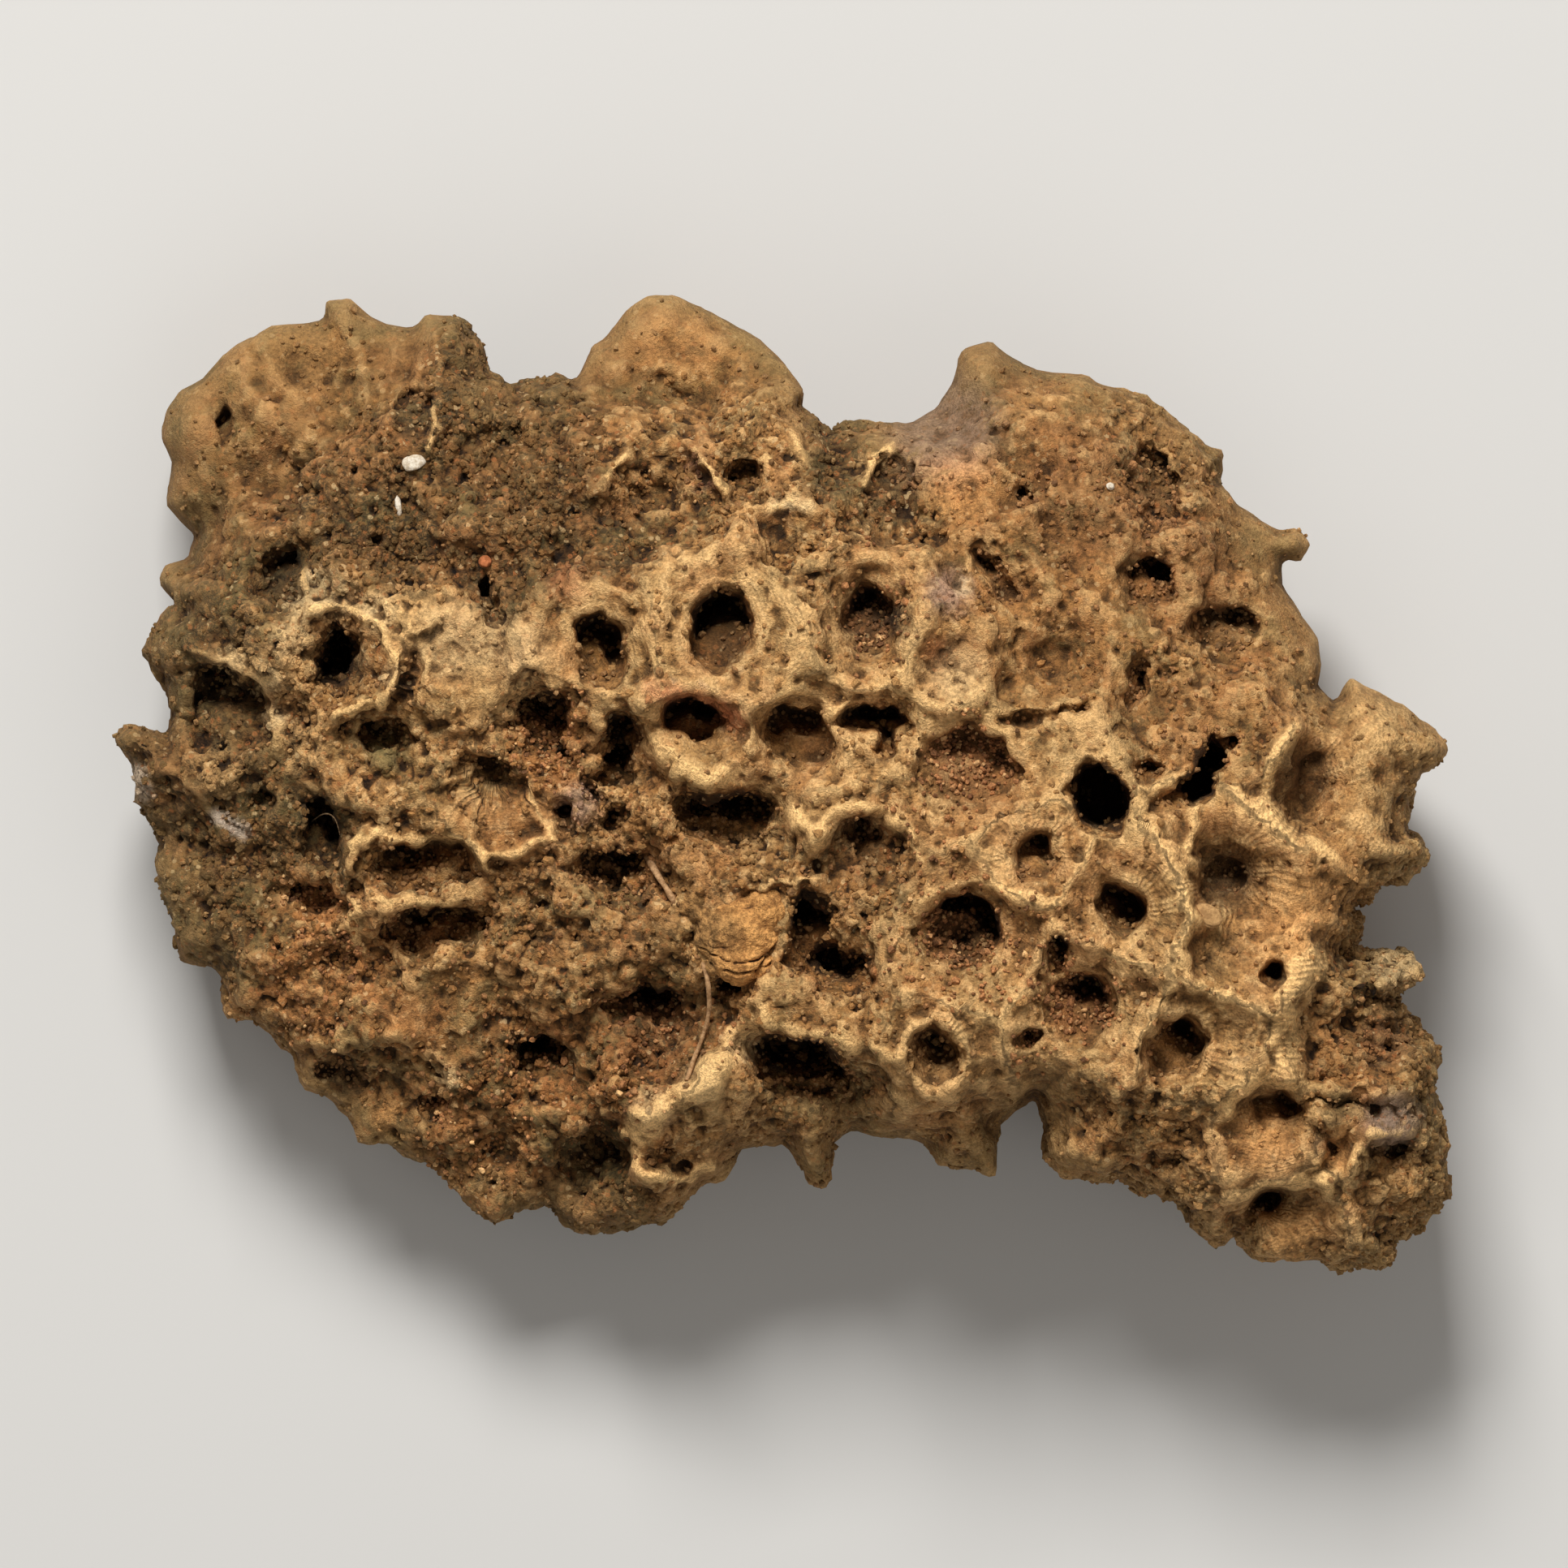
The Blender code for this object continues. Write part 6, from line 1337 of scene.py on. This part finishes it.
def rock_material():
    shader = Shader("fossil_rock", 0.9)
    times, plus, minus, ramp = shader.times, shader.plus, shader.minus, shader.ramp
    pale, red, dark = shader.three("zone")
    across, along, outside = shader.three("local")
    hollow_fine, hollow_broad, depth = shader.three("cavity")
    crest_height, ribbed, striped = shader.three("lines")
    cloud, hue, roughness = (shader.attribute(name) for name in ("cloud", "hue", "rough"))
    rough = times(ramp(roughness, 0.2, 0.9, 0.35, 1.0), ramp(crest_height, 0.4, 0.9, 1.0, 0.4))
    mottled = shader.noise(1.3, 4.0, 0.7)
    speckled = shader.noise(0.26, 3.0, 0.75)
    from_middle, grain = shader.grains(0.55)
    lightness, redness, odd = shader.parts(grain)

    out_of_pit = ramp(depth, 0.4, 2.4, 1.0, 0.0)
    convex = ramp(hollow_broad, 0.25, -0.3, 0.4, 1.0)
    clean = times(pale, ramp(cloud, 0.0, 1.0, 0.55, 1.0), convex, out_of_pit)
    bare = times(pale, ramp(hollow_fine, -0.02, -0.14), ramp(speckled, 0.4, 0.6), out_of_pit, 0.35)
    worn = times(ramp(hollow_fine, -0.04, -0.2), ramp(dark, 0.2, 0.9, 0.6, 0.35), out_of_pit)
    in_hollows = minus(1.0, times(pale, out_of_pit, 0.9))
    rusty = ramp(plus(hue, times(redness, 0.5)), 0.3, 1.0, 0.0, 0.34)
    mossy = ramp(minus(hue, times(redness, 0.5)), -0.3, -0.9, 0.0, 0.5)
    crest = times(ramp(crest_height, 0.5, 1.1), ramp(mottled, 0.36, 0.5),
                  ramp(speckled, 0.38, 0.55, 0.5, 1.0), 0.75)
    # How strongly crevices take painted shade: more where the rock is crumbly.
    crevice_shade_share = ramp(roughness, 0.3, 0.8, 0.6, 1.0)
    colour = shader.layered(DEEP_BROWN, (
        (ramp(mottled, 0.36, 0.62), BROWN),
        (times(dark, ramp(mottled, 0.35, 0.6, 0.8, 0.4)), OLIVE),
        (clean, PALE),
        (bare, CREAM),
        (worn, PALE),
        (times(red, ramp(mottled, 0.4, 0.6), in_hollows, 0.75), RED_SAND),
        (times(dark, ramp(cloud, 0.0, 1.0, 0.5, 1.0), ramp(speckled, 0.42, 0.58)), DARK_CRUST),
        (rusty, RUST),
        (times(mossy, minus(1.0, times(pale, 0.6))), MOSS),
        (times(shader.attribute("patch_share"), ramp(mottled, 0.32, 0.5, 0.25, 1.0)),
         shader.attribute("patch", "Color")),
        (crest, CREST_CREAM),
        # Painted shade: fine crevices darker, and pits darker the deeper they go; their floors hold some dark
        # soil too.
        (times(ramp(hollow_fine, 0.02, 0.16, 0.0, 0.8), crevice_shade_share), DEEP_BROWN),
        (times(ramp(hollow_fine, 0.08, 0.28, 0.0, 0.85), crevice_shade_share), PIT_SHADE_BROWN),
        (ramp(depth, 1.6, 7.0, 0.0, 0.85), PIT_SHADE_BROWN),
    ))

    # Painted shade and light: broad hollows are made darker and humps lighter, and the creases between grains
    # darker, on top of the rock's own speckle and grain.
    tone = plus(ramp(speckled, 0.36, 0.64, -0.26, 0.26), times(ramp(lightness, 0.1, 0.9, -0.2, 0.2), rough),
                ramp(dark, 0.3, 1.0, 1.08, 0.96), ramp(hollow_broad, -0.6, 0.6, 0.16, -0.2))
    crease = times(ramp(from_middle, 0.42, 0.75), rough, 0.35)
    crumb = times(ramp(from_middle, 0.5, 0.38), rough)
    rarity = plus(odd, times(minus(mottled, 0.5), 1.2))
    more_pepper = times(dark, 0.14)
    pepper = times(ramp(rarity, plus(more_pepper, 0.14), plus(more_pepper, 0.1)), crumb, 0.65)
    salt = times(ramp(rarity, 0.9, 0.94), crumb, 0.45)
    brick = times(ramp(rarity, 0.74, 0.78), ramp(rarity, 0.9, 0.86), crumb, 0.6)
    colour = shader.layered(shader.shaded(colour, minus(tone, crease)),
                            ((pepper, DARK_CRUST), (salt, CREAM), (brick, RED_SAND)))

    wavy = times(hue, 3.0)
    on_wall = ramp(outside, 0.1, 0.9)

    def waves(place, pace, *shares):
        """Wavy lines, as strong as the shares say."""
        return times(shader.math("SINE", plus(times(place, pace), wavy)), *shares)

    angle = shader.math("ARCTAN2", along, across)
    up_the_lump = shader.parts(shader.position)[1]
    septa = waves(angle, SEPTA, on_wall, striped, ramp(cloud, 0.0, 0.4, 0.2, 0.8))
    rings = waves(outside, RINGS, on_wall, pale)
    ribs = waves(up_the_lump, 2 * math.pi / RIB_SPACING, ribbed, ramp(mottled, 0.34, 0.54, 0.3, 1.0))
    lines = plus(ribs, septa, times(rings, cloud, 0.15))
    height = plus(times(septa, 0.5), times(rings, 0.08), speckled, times(ribs, 0.35))
    return shader.finish(shader.shaded(colour, ramp(lines, -1.0, 1.0, 0.78, 1.16)), height, 0.35)


def sand_material():
    """Grains of several tones, which are earthy outside the sandy places."""
    shader = Shader("sand", 0.8)
    tint = shader.attribute("tint")
    _, red, _ = shader.three("zone")
    dark_tone, middle_tone, light_tone = SAND_TONES
    colour = shader.layered(dark_tone, (
        (shader.ramp(tint, 0.0, 0.6), middle_tone),
        (shader.ramp(tint, 0.75, 1.0), light_tone),
        (shader.ramp(red, 0.15, 0.6, 0.75, 0.0), EARTHY_SAND),
        # The rock's patches show on the grains too, painted shade among them.
        (shader.times(shader.attribute("patch_share"), shader.ramp(tint, 0.0, 1.0, 0.9, 0.5)),
         shader.attribute("patch", "Color")),
    ))
    speckled = shader.noise(0.3, 3.0, 0.7)
    return shader.finish(shader.shaded(colour, shader.ramp(speckled, 0.35, 0.65, 0.6, 1.35)), speckled, 0.2)


def clay_material():
    shader = Shader("orange_clay", 0.95)
    mottled = shader.noise(1.2, 4.0, 0.7)
    speckled = shader.noise(0.28, 3.0, 0.75)
    clean, hollow, _ = shader.three("clay_state")
    colour = shader.mix(shader.ramp(mottled, 0.36, 0.6), *CLAY_TONES)
    earthy = shader.mix(shader.ramp(mottled, 0.4, 0.6), *BROKEN_CLAY_TONES)
    colour = shader.layered(earthy, ((clean, colour), (shader.ramp(hollow, 0.02, 0.12), CLAY_SHADE)))
    colour = shader.shaded(colour, shader.ramp(speckled, 0.35, 0.65, 0.68, 1.28))
    return shader.finish(colour, shader.plus(speckled, shader.times(mottled, 1.5)), 0.35)


def plain_material(name, colour, variation):
    shader = Shader(name, 0.85)
    speckled = shader.noise(0.4, 4.0, 0.7)
    return shader.finish(shader.mix(shader.ramp(speckled, 0.38, 0.62), colour, variation), speckled, 0.12)


def dress(obj, material, replaces=None):
    """Gives a piece its material, and tells what it rides on and stands for."""
    obj.data.materials.clear()
    obj.data.materials.append(material)
    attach(obj, "root")
    if replaces:
        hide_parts(replaces)


# Floor, light and camera


def floor():
    bpy.ops.mesh.primitive_plane_add(size=FLOOR_SIZE, location=(0, 0, 0))
    obj = bpy.context.object
    obj.name = "studio_floor"
    material = bpy.data.materials.new("pale_paper")
    material.use_nodes = True
    shader = material.node_tree.nodes["Principled BSDF"]
    shader.inputs["Base Color"].default_value = FLOOR_COLOUR
    shader.inputs["Roughness"].default_value = 0.9
    obj.data.materials.append(material)


def area_light(name, place, size, power):
    lamp = bpy.data.lights.new(name, "AREA")
    lamp.size = size
    lamp.energy = power
    obj = new_object(name, lamp)
    obj.location = place
    obj.rotation_euler = (LIGHT_AIM - Vector(place)).to_track_quat("-Z", "Y").to_euler()


def light_and_camera():
    for light in LIGHTS:
        area_light(*light)
    world = bpy.data.worlds.new("studio")
    world.use_nodes = True
    sky = world.node_tree.nodes["Background"]
    sky.inputs["Color"].default_value = SKY_COLOUR
    sky.inputs["Strength"].default_value = SKY_STRENGTH
    bpy.context.scene.world = world
    bpy.context.scene.view_settings.view_transform = "Standard"

    camera = bpy.data.cameras.new("camera")
    camera.sensor_width = 36.0
    camera.lens = camera.sensor_width * (CAMERA_HEIGHT - FACE_HEIGHT) / (PHOTO_WIDTH_MM * METRES_PER_MM)
    camera.clip_end = 10 * CAMERA_HEIGHT
    obj = new_object("camera", camera)
    obj.location = (0, 0, CAMERA_HEIGHT)
    bpy.context.scene.camera = obj


def main():
    for obj in list(bpy.data.objects):
        bpy.data.objects.remove(obj)
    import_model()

    surface = colony_surface()
    tree = BVHTree.FromPolygons(vertex_array(surface.data).tolist(), triangle_array(surface.data).tolist())
    shift = shift_to_frame(surface)
    sand, rock_crumbs = sand_and_crumbs(surface)
    clay = clay_lump()
    root, strand = rootlet(tree), hair(tree)
    chips = [loose_chip(tree, chip) for chip in CHIPS]
    for obj in (surface, sand, rock_crumbs, clay, root, strand, *chips):
        obj.data.transform(Matrix.Scale(METRES_PER_MM, 4) @ Matrix.Translation(shift))

    rock = rock_material()
    plain = {name: plain_material(name, *tones) for name, tones in PLAIN_TONES.items()}
    dress(surface, rock, "coral_colony")
    dress(clay, clay_material(), "clay_lump")
    dress(sand, sand_material())
    dress(rock_crumbs, rock)
    dress(root, plain["root_skin"])
    dress(strand, plain["hair_skin"])
    for obj, chip in zip(chips, CHIPS):
        dress(obj, plain[chip.look])

    floor()
    light_and_camera()


main()
